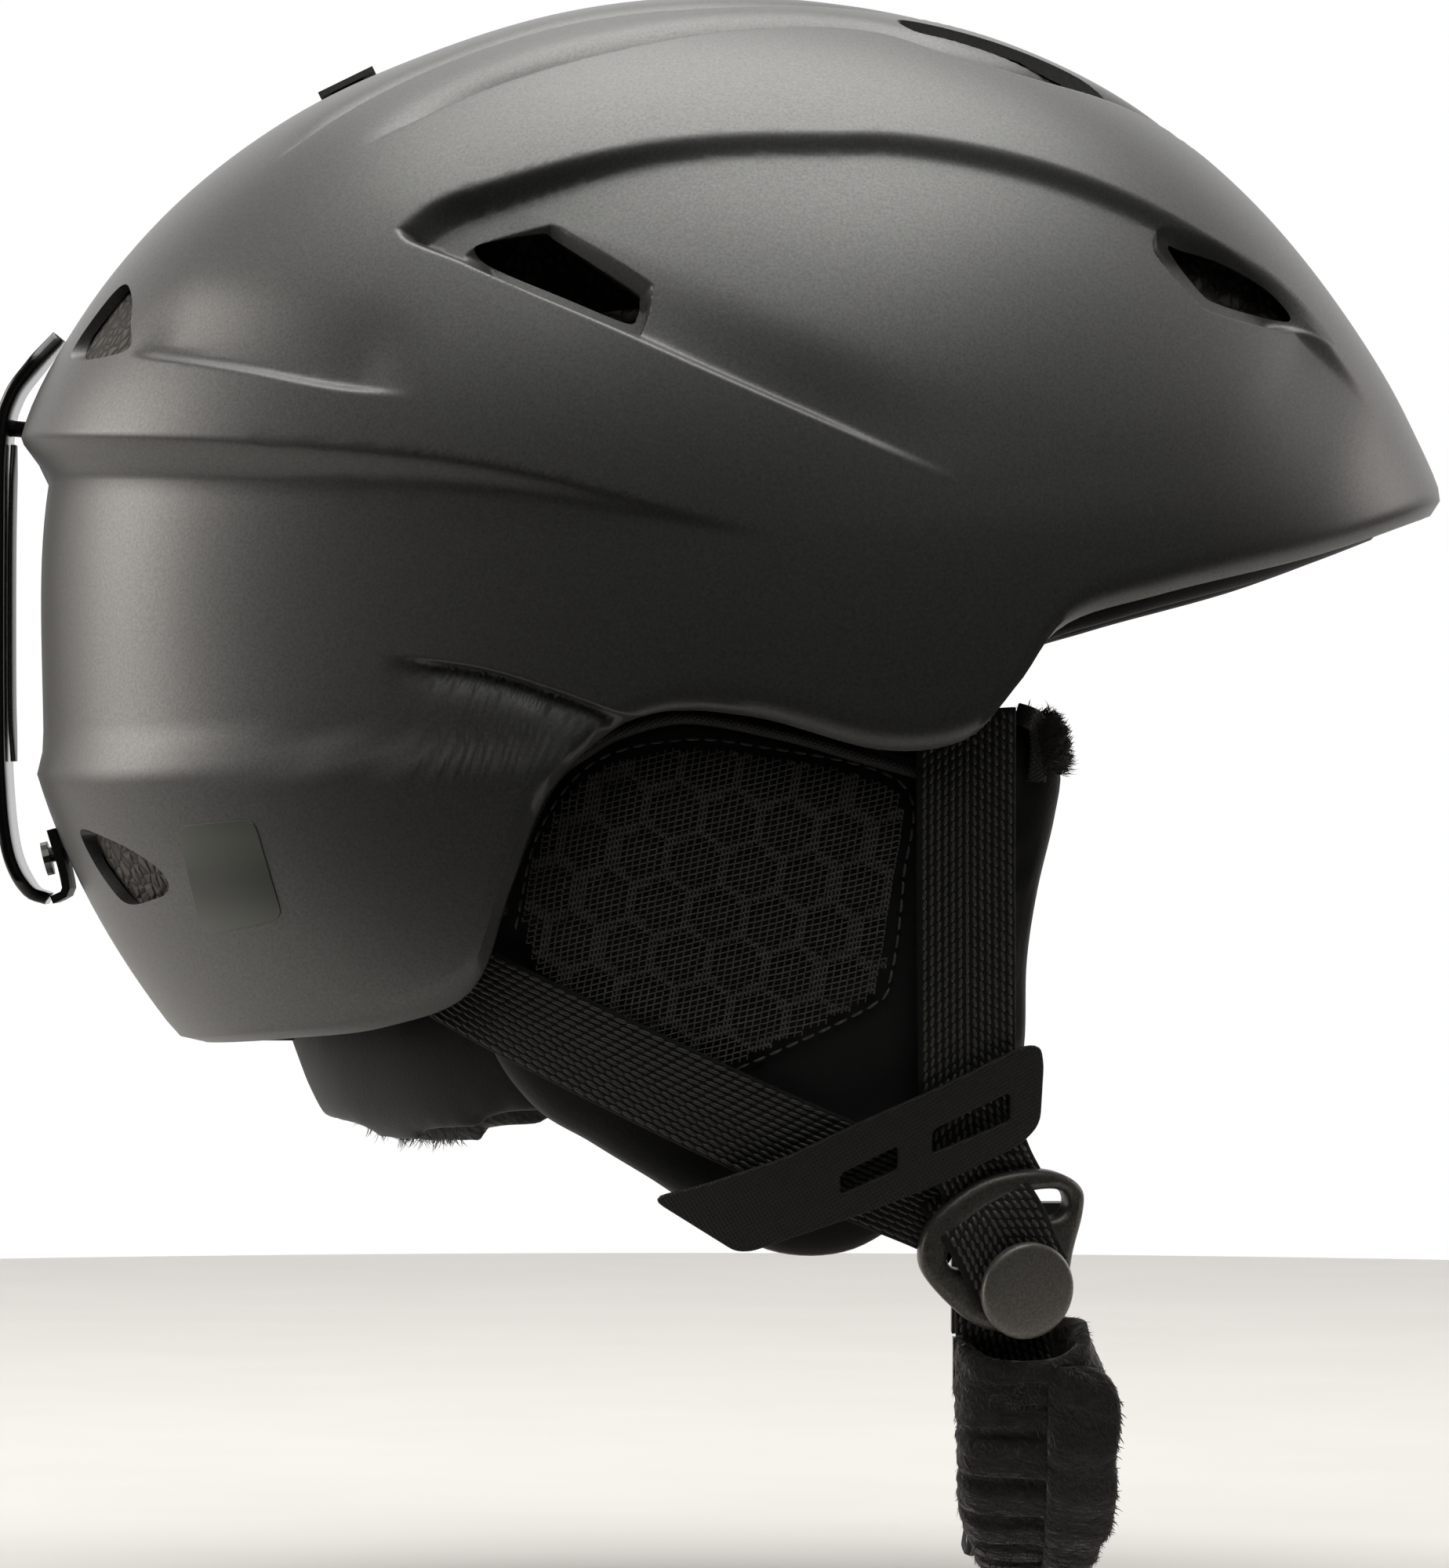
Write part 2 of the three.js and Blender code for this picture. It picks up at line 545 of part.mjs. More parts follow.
function goggleClip() {
  const band = prism(stripOutline(curve(CLIP_PATH, 30), CLIP.thick), "y", -CLIP.halfWidth, CLIP.halfWidth);
  return band.subtract(turned([-138, 0, 33], [1, 0, 0], [[0, 3], [10, 3]], 14));
}

// Fixed end of the clip, folded up against the shell and held by one screw.
function clipTab() {
  const tab = prism(stripOutline(curve(TAB_PATH, 12), CLIP.thick - 0.8), "y", -9, 9);
  return tab.subtract(turned([-124, 0, CLIP_SCREW_Z], [1, 0, 0], [[0, 2.1], [12, 2.1]], 12));
}

function clipScrew() {
  const head = turned([-124, 0, CLIP_SCREW_Z - 1], [1, 0, 0.25], [[0, 3.4], [1.4, 3.4]], 16);
  return head.add(turned([-123.5, 0, CLIP_SCREW_Z], [1, 0, 0], [[0, 1.5], [12, 1.5]], 12));
}

// ---------------------------------------------------------------- nape fit system

const FIT = { z: -76, back: -82, front: -73.5, dialRadius: 12.4, dialBack: -89.5 };
const TOOTH_PITCH = Math.PI; // 10 teeth on a pitch circle of 5 mm radius
const PINION_TEETH = 10;

function dialHousing() {
  const body = box(FIT.back + 2, FIT.front, -22, 22, FIT.z - 12, FIT.z + 12);
  const room = box(FIT.back, FIT.front - 2, -40, 40, FIT.z - 10.3, FIT.z + 10.3);
  const screwHole = turned([FIT.front - 4, 0, FIT.z], [1, 0, 0], [[0, 1.9], [6, 1.9]], 12);
  return body.subtract(room).subtract(screwHole);
}

function housingCover() {
  const plate = box(FIT.back, FIT.back + 2 - GAP, -22, 22, FIT.z - 12, FIT.z + 12);
  return plate.subtract(turned([FIT.back - 1, 0, FIT.z], [1, 0, 0], [[0, 3.4], [5, 3.4]], 16));
}

function fitDial() {
  const rim = Array.from({ length: 72 }, (_, i) => {
    const a = (i / 72) * 2 * Math.PI;
    const r = FIT.dialRadius - (i % 4 < 2 ? 0 : 0.8);
    return [r * Math.cos(a), FIT.z + r * Math.sin(a)];
  });
  const knob = prism(rim, "x", FIT.dialBack, FIT.back - GAP);
  const bore = turned([FIT.dialBack - 1, 0, FIT.z], [1, 0, 0], [[0, 2], [20, 2]], 12);
  const screwSeat = turned([FIT.dialBack - 1, 0, FIT.z], [1, 0, 0], [[0, 4.2], [3, 4.2]], 16);
  return knob.subtract(bore).subtract(screwSeat);
}

function dialPinion() {
  const outline = [];
  for (let i = 0; i < PINION_TEETH; i++) {
    const middle = ((i + 0.5) / PINION_TEETH) * 2 * Math.PI;
    for (const [turn, r] of [[-0.19, 3.9], [-0.07, 5.7], [0.07, 5.7], [0.19, 3.9]])
      outline.push([r * Math.cos(middle + turn), FIT.z + r * Math.sin(middle + turn)]);
  }
  const gear = prism(outline, "x", FIT.back + 2.4, FIT.front - 2.6);
  const neck = turned([FIT.back + 0.1 - GAP + 0.3, 0, FIT.z], [1, 0, 0], [[0, 3], [3, 3]], 16);
  const bore = turned([FIT.back - 3, 0, FIT.z], [1, 0, 0], [[0, 1.7], [20, 1.7]], 12);
  return gear.add(neck).subtract(bore);
}

function dialScrew() {
  const head = turned([FIT.dialBack + 0.2, 0, FIT.z], [1, 0, 0], [[0, 3.6], [1.6, 3.6]], 16);
  const shank = turned([FIT.dialBack + 0.4, 0, FIT.z], [1, 0, 0], [[0, 1.3], [13, 1.3]], 12);
  return head.add(shank);
}

// Toothed wing that wraps the head: the left one's teeth pass above the pinion, the right one's below.
function fitWing(side) {
  const level = (h) => FIT.z + side * h;
  const teeth = [[-9, 9.6], [-9, 6.2]];
  for (let k = -3; k < 3; k++) {
    const middle = (k + 0.5) * TOOTH_PITCH;
    teeth.push([middle - 0.75, 6.2], [middle - 0.3, 4.4], [middle + 0.3, 4.4], [middle + 0.75, 6.2]);
  }
  teeth.push([30, 6.2], [30, 9.6]);
  const outline = teeth.map(([y, h]) => [side * y, level(h)]);
  const rack = prism(side > 0 ? outline : outline.reverse(), "x", -79.2, -76.2);
  const plan = curve([[-77.7, 27], [-76.2, 35.5], [-70.8, 45.5], [-63.5, 53]], 10).map(([x, y]) => [x, side * y]);
  const wing = prism(stripOutline(plan, 2.2), "z", FIT.z - 10, FIT.z + 10);
  return rack.add(wing);
}

function cradlePad() {
  return box(FIT.front + GAP, FIT.front + 5, -20, 20, FIT.z - 11, FIT.z + 11);
}

// ---------------------------------------------------------------- comfort pads

// Pad on the wall of the head cavity, inside a given solid.
function cavityPad(region, thickness) {
  const layer = dome((dir) => cavityPoint(dir, GAP), (dir) => cavityPoint(dir, GAP + thickness),
    CAVITY_ROWS, CAVITY_ROWS);
  return layer.intersect(region);
}

function napePad() {
  const plan = curve([[-37, -64], [-50, -54], [-66, -32], [-72, 0], [-66, 32], [-50, 54], [-37, 64]], 20);
  return prism(stripOutline(plan, 13), "z", -111, -92.5);
}

// Blank label on the right side near the nape, following the shell.
function blankLabel() {
  const outline = [[-90.5, -48.8], [-76, -47.2], [-70.5, -65.5], [-85.5, -69]];
  const patch = dome((dir) => shellPoint(dir, -GAP - 0.3, 0), (dir) => shellPoint(dir, -GAP, 0),
    rowsFrom(1), rowsFrom(1));
  return patch.intersect(prism(outline, "y", -110, -30));
}

// ---------------------------------------------------------------- assembly

const helmet = new THREE.Group();
function add(name, solid, material) {
  const mesh = new THREE.Mesh(geometryOf(solid), material);
  mesh.name = name;
  helmet.add(mesh);
}

add("outer_shell", outerShell(), MATTE_SHELL);
add("eps_liner", epsLiner(), FOAM);
add("label_patch", blankLabel(), LABEL);

add("vent_slider", slideBlock(-6, 6, 7, 0.5, 1.7).add(slideBlock(-3.5, 3.5, 2, -3.2, 1)), PLASTIC);
add("vent_shutter", slideBlock(-13, 13, 11, -6.2, -4.8), PLASTIC);

const SIDES = [["left", 1], ["right", -1]];
const onSide = (solid, side) => (side > 0 ? solid : mirrored(solid));

for (const [name, side] of SIDES) {
  add(`ear_pad_${name}`, onSide(onEar(EAR_PAD, LAYER.pad), side), SOFTSHELL);
  add(`ear_mesh_${name}`, onSide(onEar(EAR_MESH, LAYER.mesh), side), MESH_FABRIC);
  add(`ear_lining_${name}`, onSide(onEar(EAR_PAD, LAYER.lining), side), FLEECE);
  add(`front_strap_${name}`, onSide(onEar(FRONT_STRAP, LAYER.frontStrap), side), STRAP);
  add(`rear_strap_${name}`, onSide(onEar(REAR_STRAP, LAYER.rearStrap), side), STRAP);
  add(`strap_divider_${name}`, onSide(onEar(DIVIDER, LAYER.divider, DIVIDER_SLOTS), side), RUBBER);
  const frontAnchor = onEarDisc(57.8, -17, LAYER.frontStrap[1], ANCHOR);
  const rearAnchor = onEarDisc(-50, -67, LAYER.rearStrap[1], ANCHOR);
  add(`front_strap_anchor_${name}`, onSide(frontAnchor, side), PLASTIC);
  add(`rear_strap_anchor_${name}`, onSide(rearAnchor, side), PLASTIC);
  add(`side_pad_${name}`, cavityPad(onSide(box(-50, 45, 30, 100, -12, 42), side), 5), FLEECE);
}
add("nape_pad", napePad(), SOFTSHELL);
add("brow_pad", cavityPad(box(52, 130, -80, 80, -20, 46), 6), FLEECE);
add("crown_pad", cavityPad(turned([0, 0, 20], [0, 0, 1], [[0, 42], [120, 42]], 24), 6), FLEECE);

add("adjuster_plate", mirrored(onEar(ADJUSTER, LAYER.adjuster, [ADJUSTER_SLOT])), SATIN);
add("adjuster_webbing", mirrored(onEar(ADJUSTER_WEB, LAYER.adjusterWeb)), STRAP);
add("adjuster_disc", mirrored(onEarDisc(DISC.x, DISC.z, LAYER.adjusterWeb[1],
  [[0, DISC.radius], [DISC.thick - 0.6, DISC.radius], [DISC.thick, DISC.radius - 0.8]])), SATIN);

add("chin_strap", chinStrap(), STRAP);
add("chin_pad", chinPad(), FLEECE);
add("strap_tail_left", strapTail(), STRAP);
add("buckle_tongue", buckleTongue(), PLASTIC);
add("buckle_socket", buckleSocket(), PLASTIC);
add("buckle_button", buckleButton(), PLASTIC);

add("goggle_clip", goggleClip(), RUBBER);
add("snap_stud", turned([-127, 0, 33], [-1, 0, 0.1], [[0, 1.6], [3, 1.6], [5.4, 2.2], [6.4, 1.8]], 12), STEEL);
add("snap_cap", turned([-134.2, 0, 33.5], [-1, 0, 0.1], [[0, 7], [1.6, 7], [3.2, 4.6], [3.8, 2]], 20), PLASTIC);
add("clip_tab", clipTab(), RUBBER);
add("clip_screw", clipScrew(), STEEL);

add("dial_housing", dialHousing(), PLASTIC);
add("housing_cover", housingCover(), PLASTIC);
add("fit_dial", fitDial(), RUBBER);
add("dial_pinion", dialPinion(), PLASTIC);
add("dial_screw", dialScrew(), STEEL);
add("fit_wing_left", fitWing(1), PLASTIC);
add("fit_wing_right", fitWing(-1), PLASTIC);
add("cradle_pad", cradlePad(), FLEECE);

export default helmet;
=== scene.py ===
"""Looks of a ski helmet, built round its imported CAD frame.

Lengths in the making functions are millimetres, in the frame's own axes: +X to the front, +Y to the
wearer's left, +Z up. put_in_scene() turns finished points to metres."""
import math

import bmesh
import bpy
import numpy as np
from mathutils import Matrix, Vector


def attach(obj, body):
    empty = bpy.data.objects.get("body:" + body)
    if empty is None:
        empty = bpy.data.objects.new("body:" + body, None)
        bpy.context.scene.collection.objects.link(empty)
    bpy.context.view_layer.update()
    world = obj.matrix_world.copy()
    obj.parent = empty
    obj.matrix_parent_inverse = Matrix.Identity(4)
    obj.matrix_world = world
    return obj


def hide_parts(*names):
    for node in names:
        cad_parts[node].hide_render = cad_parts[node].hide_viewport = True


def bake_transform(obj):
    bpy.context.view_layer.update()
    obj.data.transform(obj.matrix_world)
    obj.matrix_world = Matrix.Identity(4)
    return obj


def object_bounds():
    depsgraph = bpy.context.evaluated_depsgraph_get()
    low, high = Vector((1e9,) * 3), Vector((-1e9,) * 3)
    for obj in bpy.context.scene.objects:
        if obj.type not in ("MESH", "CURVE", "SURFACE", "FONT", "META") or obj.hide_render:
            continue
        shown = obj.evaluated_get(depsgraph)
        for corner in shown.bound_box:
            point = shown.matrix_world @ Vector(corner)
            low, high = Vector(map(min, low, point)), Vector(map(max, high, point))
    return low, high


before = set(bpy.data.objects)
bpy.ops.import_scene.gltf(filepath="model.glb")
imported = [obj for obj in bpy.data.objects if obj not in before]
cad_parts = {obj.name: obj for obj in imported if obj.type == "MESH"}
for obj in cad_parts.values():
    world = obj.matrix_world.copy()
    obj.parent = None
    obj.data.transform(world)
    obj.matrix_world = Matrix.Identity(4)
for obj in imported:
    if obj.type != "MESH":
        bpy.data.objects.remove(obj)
CAD_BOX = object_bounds()
MM = 0.001
SIDES = {"right": -1, "left": 1}

# ---------------------------------------------------------------- driving sizes, as in the CAD part

CENTRE = np.array([8.0, 0.0, 10.0])
HALF_WIDTH = 108
SQUARENESS = 2.2
PROFILE = [
    [-40, 150], [-20, 150], [0, 148.3], [10, 141.5], [20, 134.6], [30, 129.1], [45, 122], [60, 115.7],
    [75, 110.8], [90, 108.8], [105, 109.4], [120, 112.2], [135, 118.7], [150, 126.6], [160, 132.1],
    [170, 137.5], [180, 139.4], [200, 140.7], [223, 143.3], [250, 150], [285, 152],
]
RIM = [
    [155.9, 16.4], [128.5, 6.7], [97.1, -1.4], [77.3, -8], [67, -21.3], [58.2, -30.1], [41.9, -32],
    [16.9, -25.7], [-3.8, -26], [-21.5, -39], [-30.3, -59.6], [-37.7, -78.8], [-55, -86.2],
    [-75.1, -88.9], [-94.9, -90.8],
]
WALL = 2.0
AIR = 0.4
RIM_TURN = 3.2
RIM_HEIGHT = 6.0
CHANNEL_EDGE = [[-125, 31], [-81, 28], [-36, 23], [5, 13.4], [24, 9]]
CHANNEL_DEPTH = 7.5
CHANNEL_FLOOR_END = -31
CHANNEL_BOTTOM = -35
CAVITY = dict(x=2, z=0, length=103, width=83, up=97, down=190, power=2.3)
EAR = dict(y=96.4, x=22, back=0.0038, front=0.0045, lean=0.17, top=-22)
CHIN = dict(x=68, half_width=69.5, top=-142, depth=47.5, power=2.6)

# ---------------------------------------------------------------- camera, light and floor

CAMERA_AT = (11.56, -1800, -37.5)
LENS = 207.36
SENSOR = 36
FLOOR = dict(radius=750, middle=580, below=6, thick=10)


def side_camera():
    """Level camera, square to the wearer's right side."""
    data = bpy.data.cameras.new("camera")
    data.lens = LENS
    data.sensor_width = SENSOR
    data.clip_end = 30
    camera = bpy.data.objects.new("camera", data)
    camera.location = Vector(CAMERA_AT) * MM
    camera.rotation_euler = (math.radians(90), 0, 0)
    bpy.context.scene.collection.objects.link(camera)
    bpy.context.scene.camera = camera


def softbox(name, at, towards, size, power, colour=(1, 1, 1)):
    """Rectangular lamp, its place and size in metres, turned towards a point."""
    data = bpy.data.lights.new(name, "AREA")
    data.shape = "RECTANGLE"
    data.size, data.size_y = size
    data.energy = power
    data.color = colour
    light = bpy.data.objects.new(name, data)
    light.location = at
    light.rotation_euler = (Vector(towards) - Vector(at)).to_track_quat("-Z", "Y").to_euler()
    bpy.context.scene.collection.objects.link(light)


def studio():
    """Softboxes over, before and behind the helmet, with only a faint fill from the camera's side."""
    softbox("top softbox", (0.05, 0.15, 1.35), (0, 0, 0.02), (1.5, 1.35), 30, (1, 0.99, 0.97))
    softbox("front top softbox", (0, -0.95, 1.25), (0, 0, 0.02), (1.7, 0.7), 6, (1, 0.99, 0.97))
    softbox("camera fill", (0.5, -1.7, 0.7), (0.03, 0, -0.05), (0.8, 0.8), 0.4)
    softbox("nape softbox", (-1.4, 0.22, 0.3), (-0.05, 0, 0), (0.8, 1.0), 16, (1, 0.95, 0.91))
    softbox("brow softbox", (1.5, 0.75, 0.4), (0.1, 0, 0), (0.7, 0.9), 6.5, (1, 0.94, 0.9))
    softbox("backdrop", (0, 2.0, 0.55), (0, 0, 0.1), (3.2, 2.0), 24)
    world = bpy.data.worlds.new("studio air")
    world.use_nodes = True
    tree = world.node_tree
    seen = add(tree, "ShaderNodeLightPath").outputs["Is Camera Ray"]
    strength = add(tree, "ShaderNodeMapRange", {"Value": seen, "To Min": 0.01, "To Max": 1.0})
    tree.links.new(strength.outputs["Result"], tree.nodes["Background"].inputs["Strength"])
    tree.nodes["Background"].inputs["Color"].default_value = (1, 1, 1, 1)
    bpy.context.scene.world = world
    bpy.context.scene.view_settings.view_transform = "Standard"


def floor():
    """Pale round floor just under the chin strap."""
    top = CAD_BOX[0][2] / MM - FLOOR["below"]
    turns = np.linspace(0, 2 * math.pi, 96, endpoint=False)
    ring = np.stack([np.cos(turns), np.sin(turns), np.zeros(96)], axis=1) * FLOOR["radius"]
    points = np.vstack([ring + [0, FLOOR["middle"], z] for z in (top, top - FLOOR["thick"])])
    mesh = closed_mesh("floor", points, tube_faces(2, 96))
    made = bpy.data.objects.new("floor", mesh)
    bpy.context.scene.collection.objects.link(made)
    mesh.materials.append(studio_board())


# ---------------------------------------------------------------- materials

def linear(hex_colour):
    """sRGB hex colour as linear RGBA."""
    parts = [int(hex_colour[i:i + 2], 16) / 255 for i in (1, 3, 5)]
    return (*[c / 12.92 if c <= 0.04045 else ((c + 0.055) / 1.055) ** 2.4 for c in parts], 1.0)


def add(tree, kind, inputs=None, **settings):
    """Adds one node: settings are its attributes, and inputs set or link its sockets."""
    made = tree.nodes.new(kind)
    for name, value in settings.items():
        setattr(made, name, value)
    for socket, value in (inputs or {}).items():
        if isinstance(value, bpy.types.NodeSocket):
            tree.links.new(value, made.inputs[socket])
        else:
            made.inputs[socket].default_value = value
    return made


def material(name):
    """New empty material: itself, its node tree and the socket of the object's own coordinates."""
    made = bpy.data.materials.new(name)
    made.use_nodes = True
    tree = made.node_tree
    tree.nodes.clear()
    return made, tree, add(tree, "ShaderNodeTexCoord").outputs["Object"]


def surface(tree, share, dark, light, rough, bump=None, **sockets):
    """Closes a material: its colour runs from dark to light by a share, and bump is a height from 0 to 1
    with its real depth in millimetres and its strength. Other sockets are named with _ for a space."""
    colour = add(tree, "ShaderNodeMix", {0: share, 6: linear(dark), 7: linear(light)}, data_type="RGBA")
    inputs = {"Base Color": colour.outputs[2], "Roughness": rough}
    if bump:
        height, depth, strength = bump
        relief = add(tree, "ShaderNodeBump", {"Height": height, "Strength": strength, "Distance": depth * MM})
        inputs["Normal"] = relief.outputs[0]
    inputs.update({name.replace("_", " "): value for name, value in sockets.items()})
    shader = add(tree, "ShaderNodeBsdfPrincipled", inputs)
    add(tree, "ShaderNodeOutputMaterial", {"Surface": shader.outputs[0]})


def cells_per_metre(size_mm):
    """Scale of a pattern whose cells are this wide."""
    return 1 / (size_mm * MM)


def studio_board():
    # Painted studio board: plain and matt, with the faintest mottle.
    made, tree, place = material("painted studio board")
    mottle = add(tree, "ShaderNodeTexNoise", {"Vector": place, "Scale": cells_per_metre(60)})
    surface(tree, mottle.outputs[0], "#c9c7c3", "#d0cecb", 0.9)
    return made


def matte_paint():
    # Moulded ABS under matt metallic paint: flake shows as a fine sandy grain with a broad soft sheen.
    made, tree, place = material("matt metallic paint on ABS")
    # The real flake is 0.1 mm, too fine to show, so the grain is 0.55 mm here.
    grain = add(tree, "ShaderNodeTexNoise", {"Vector": place, "Scale": cells_per_metre(0.55), "Detail": 1.0})
    flake = add(tree, "ShaderNodeMapRange", {"Value": grain.outputs[0], "From Min": 0.2, "From Max": 0.8})
    surface(tree, flake.outputs[0], "#585857", "#6b6b69", 0.45, (grain.outputs[0], 0.014, 0.5), Metallic=0.55)
    return made


def expanded_foam():
    # Expanded polystyrene: fused beads 2 to 3 mm across. Their colour holds painted shade: dark in the gaps
    # where the beads meet, lighter on each bead's crown.
    made, tree, place = material("expanded polystyrene beads")
    beads = add(tree, "ShaderNodeTexVoronoi", {"Vector": place, "Scale": cells_per_metre(2.6)},
                feature="DISTANCE_TO_EDGE")
    # crown is each bead's height, used for the bump and also as painted shade, darker towards the gaps.
    crown = add(tree, "ShaderNodeMapRange", {"Value": beads.outputs[0], "From Min": 0.0, "From Max": 0.32})
    surface(tree, crown.outputs[0], "#191714", "#4d4840", 0.75, (crown.outputs[0], 0.5, 1.0))
    return made


def knit(name, dark, light, pitch_mm, depth_mm, sheen=0.25):
    """Fine brushed knit: rows of tiny loops over a soft uneven nap."""
    made, tree, place = material(name)
    loops = add(tree, "ShaderNodeTexVoronoi", {"Vector": place, "Scale": cells_per_metre(pitch_mm)})
    mottle = add(tree, "ShaderNodeTexNoise", {"Vector": place, "Scale": cells_per_metre(7), "Detail": 3.0})
    nap = add(tree, "ShaderNodeMapRange", {"Value": mottle.outputs[0], "From Min": 0.3, "From Max": 0.7})
    both = add(tree, "ShaderNodeMath", {0: nap.outputs[0], 1: loops.outputs[0]}, operation="MULTIPLY")
    surface(tree, both.outputs[0], dark, light, 0.92, (loops.outputs[0], depth_mm, 0.7),
            Sheen_Weight=sheen, Sheen_Roughness=0.5)
    return made


def softshell():
    # Laminated softshell over foam: near black, smooth, with a close knit face that hardly shines.
    return knit("softshell laminate", "#080707", "#110f0e", 0.7, 0.05)


def fleece():
    # Brushed polyester fleece: deep black with a short nap that catches light at its edges.
    return knit("brushed polyester fleece", "#090807", "#1b1815", 1.6, 0.4, 0.5)


def faux_fur():
    # Short faux fur: combed streaks of brown-black fibre, lighter on the ridges of each tuft.
    made, tree, place = material("short faux fur")
    combed = add(tree, "ShaderNodeMapping", {
        "Vector": place, "Rotation": (0, math.radians(-35), 0), "Scale": (0.55, 1, 1)})
    streaks = add(tree, "ShaderNodeTexNoise", {
        "Vector": combed.outputs[0], "Scale": cells_per_metre(1.3), "Detail": 4.0}).outputs[0]
    clumps = add(tree, "ShaderNodeTexNoise", {"Vector": place, "Scale": cells_per_metre(9), "Detail": 3.0})
    fibre = add(tree, "ShaderNodeMapRange", {"Value": streaks, "From Min": 0.35, "From Max": 0.7})
    tufts = add(tree, "ShaderNodeMapRange", {"Value": clumps.outputs[0], "From Min": 0.2, "From Max": 0.75})
    both = add(tree, "ShaderNodeMath", {0: fibre.outputs[0], 1: tufts.outputs[0]}, operation="MULTIPLY")
    surface(tree, both.outputs[0], "#0f0d0c", "#2e2a26", 0.8, (streaks, 0.9, 1.0),
            Sheen_Weight=0.4, Sheen_Roughness=0.4)
    return made


def fur_fibre():
    # Single acrylic fibres of the fur, brown-black, each clump a little lighter or darker than the next.
    made, tree, place = material("acrylic fur fibre")
    shade = add(tree, "ShaderNodeTexNoise", {"Vector": place, "Scale": cells_per_metre(5)})
    surface(tree, shade.outputs[0], "#151311", "#3a3530", 0.55)
    return made


def yarn(name, dark, light):
    """Twisted polypropylene yarn: each float has a soft shine and fine filaments along it."""
    made, tree, place = material(name)
    filaments = add(tree, "ShaderNodeTexNoise", {"Vector": place, "Scale": cells_per_metre(0.35)}).outputs[0]
    surface(tree, filaments, dark, light, 0.4, (filaments, 0.04, 0.6), Sheen_Weight=0.15)
    return made


def woven_ground():
    # The weave under the floats: shaded yarn crossings, almost black, in small cells.
    made, tree, place = material("webbing ground weave")
    check = add(tree, "ShaderNodeTexVoronoi", {"Vector": place, "Scale": cells_per_metre(1.2)}).outputs[0]
    surface(tree, check, "#070606", "#151312", 0.85, (check, 0.2, 1.0))
    return made


WAVE = math.pi / 10  # a wave texture of scale 1 repeats every pi / 10


def ribbed_rubber():
    # Rubber with crossed moulded ribs; the real ribs are 0.35 mm apart, too fine to show, so 0.7 here.
    made, tree, place = material("ribbed rubber")
    bands = []
    for turn in (32, -58):
        turned = add(tree, "ShaderNodeMapping", {"Vector": place, "Rotation": (0, math.radians(turn), 0)})
        wave = add(tree, "ShaderNodeTexWave", {
            "Vector": turned.outputs[0], "Scale": cells_per_metre(0.7) * WAVE})
        bands.append(wave.outputs["Fac"])
    ribs = add(tree, "ShaderNodeMath", {0: bands[0], 1: bands[1]}, operation="MAXIMUM").outputs[0]
    surface(tree, ribs, "#100f0e", "#262522", 0.6, (ribs, 0.12, 1.0))
    return made


def moulded_rubber():
    # Moulded rubber of the goggle clip: black, smooth, with a soft gloss and faint flow marks.
    made, tree, place = material("moulded rubber")
    flow = add(tree, "ShaderNodeTexNoise", {"Vector": place, "Scale": cells_per_metre(5), "Detail": 3.0})
    skin = add(tree, "ShaderNodeTexNoise", {"Vector": place, "Scale": cells_per_metre(0.8)})
    surface(tree, flow.outputs[0], "#0c0b0b", "#161514", 0.22, (skin.outputs[0], 0.03, 0.6))
    return made


def moulded_nylon():
    # Injection moulded nylon with a fine spark-eroded grain: dark grey, half matt.
    made, tree, place = material("moulded nylon")
    grain = add(tree, "ShaderNodeTexNoise", {"Vector": place, "Scale": cells_per_metre(0.6)}).outputs[0]
    surface(tree, grain, "#131211", "#1f1e1d", 0.5, (grain, 0.05, 0.6))
    return made


def satin_nylon(name="satin painted nylon", dark="#474641", light="#65635d"):
    # Nylon under satin metallic paint: grey, with bright grains where the light rakes its edges.
    made, tree, place = material(name)
    # The real grain is 0.2 mm, too fine to show, so it is 0.5 mm here.
    grain = add(tree, "ShaderNodeTexNoise", {"Vector": place, "Scale": cells_per_metre(0.5)}).outputs[0]
    flake = add(tree, "ShaderNodeMapRange", {"Value": grain, "From Min": 0.3, "From Max": 0.7})
    surface(tree, flake.outputs[0], dark, light, 0.4, (grain, 0.06, 0.6), Metallic=0.45)
    return made


def steel():
    # Plated steel screw: bright, with fine uneven marks.
    made, tree, place = material("zinc plated steel")
    marks = add(tree, "ShaderNodeTexNoise", {
        "Vector": place, "Scale": cells_per_metre(0.4), "Detail": 3.0}).outputs[0]
    surface(tree, marks, "#8f8e8a", "#b6b5b0", 0.32, (marks, 0.02, 0.5), Metallic=1.0)
    return made


def label_film():
    # Blank polyester label film: smooth grey-green, its tone changing softly from band to band.
    made, tree, place = material("polyester label film")
    tone = add(tree, "ShaderNodeTexWave", {"Vector": place, "Scale": cells_per_metre(19) * WAVE},
               bands_direction="Z")
    surface(tree, tone.outputs["Fac"], "#3d3f39", "#5a5d55", 0.35)
    return made


def mesh_thread():
    # Polyester monofilament of the spacer mesh: dark grey, with small bright glints painted into its colour
    # as painted highlights.
    made, tree, place = material("spacer mesh thread")
    # Lighter noise spots in the colour: painted highlights on the threads.
    painted_glints = add(tree, "ShaderNodeTexNoise", {"Vector": place, "Scale": cells_per_metre(0.8), "Detail": 1.0})
    surface(tree, painted_glints.outputs[0], "#3c3b38", "#7d7a73", 0.45)
    return made


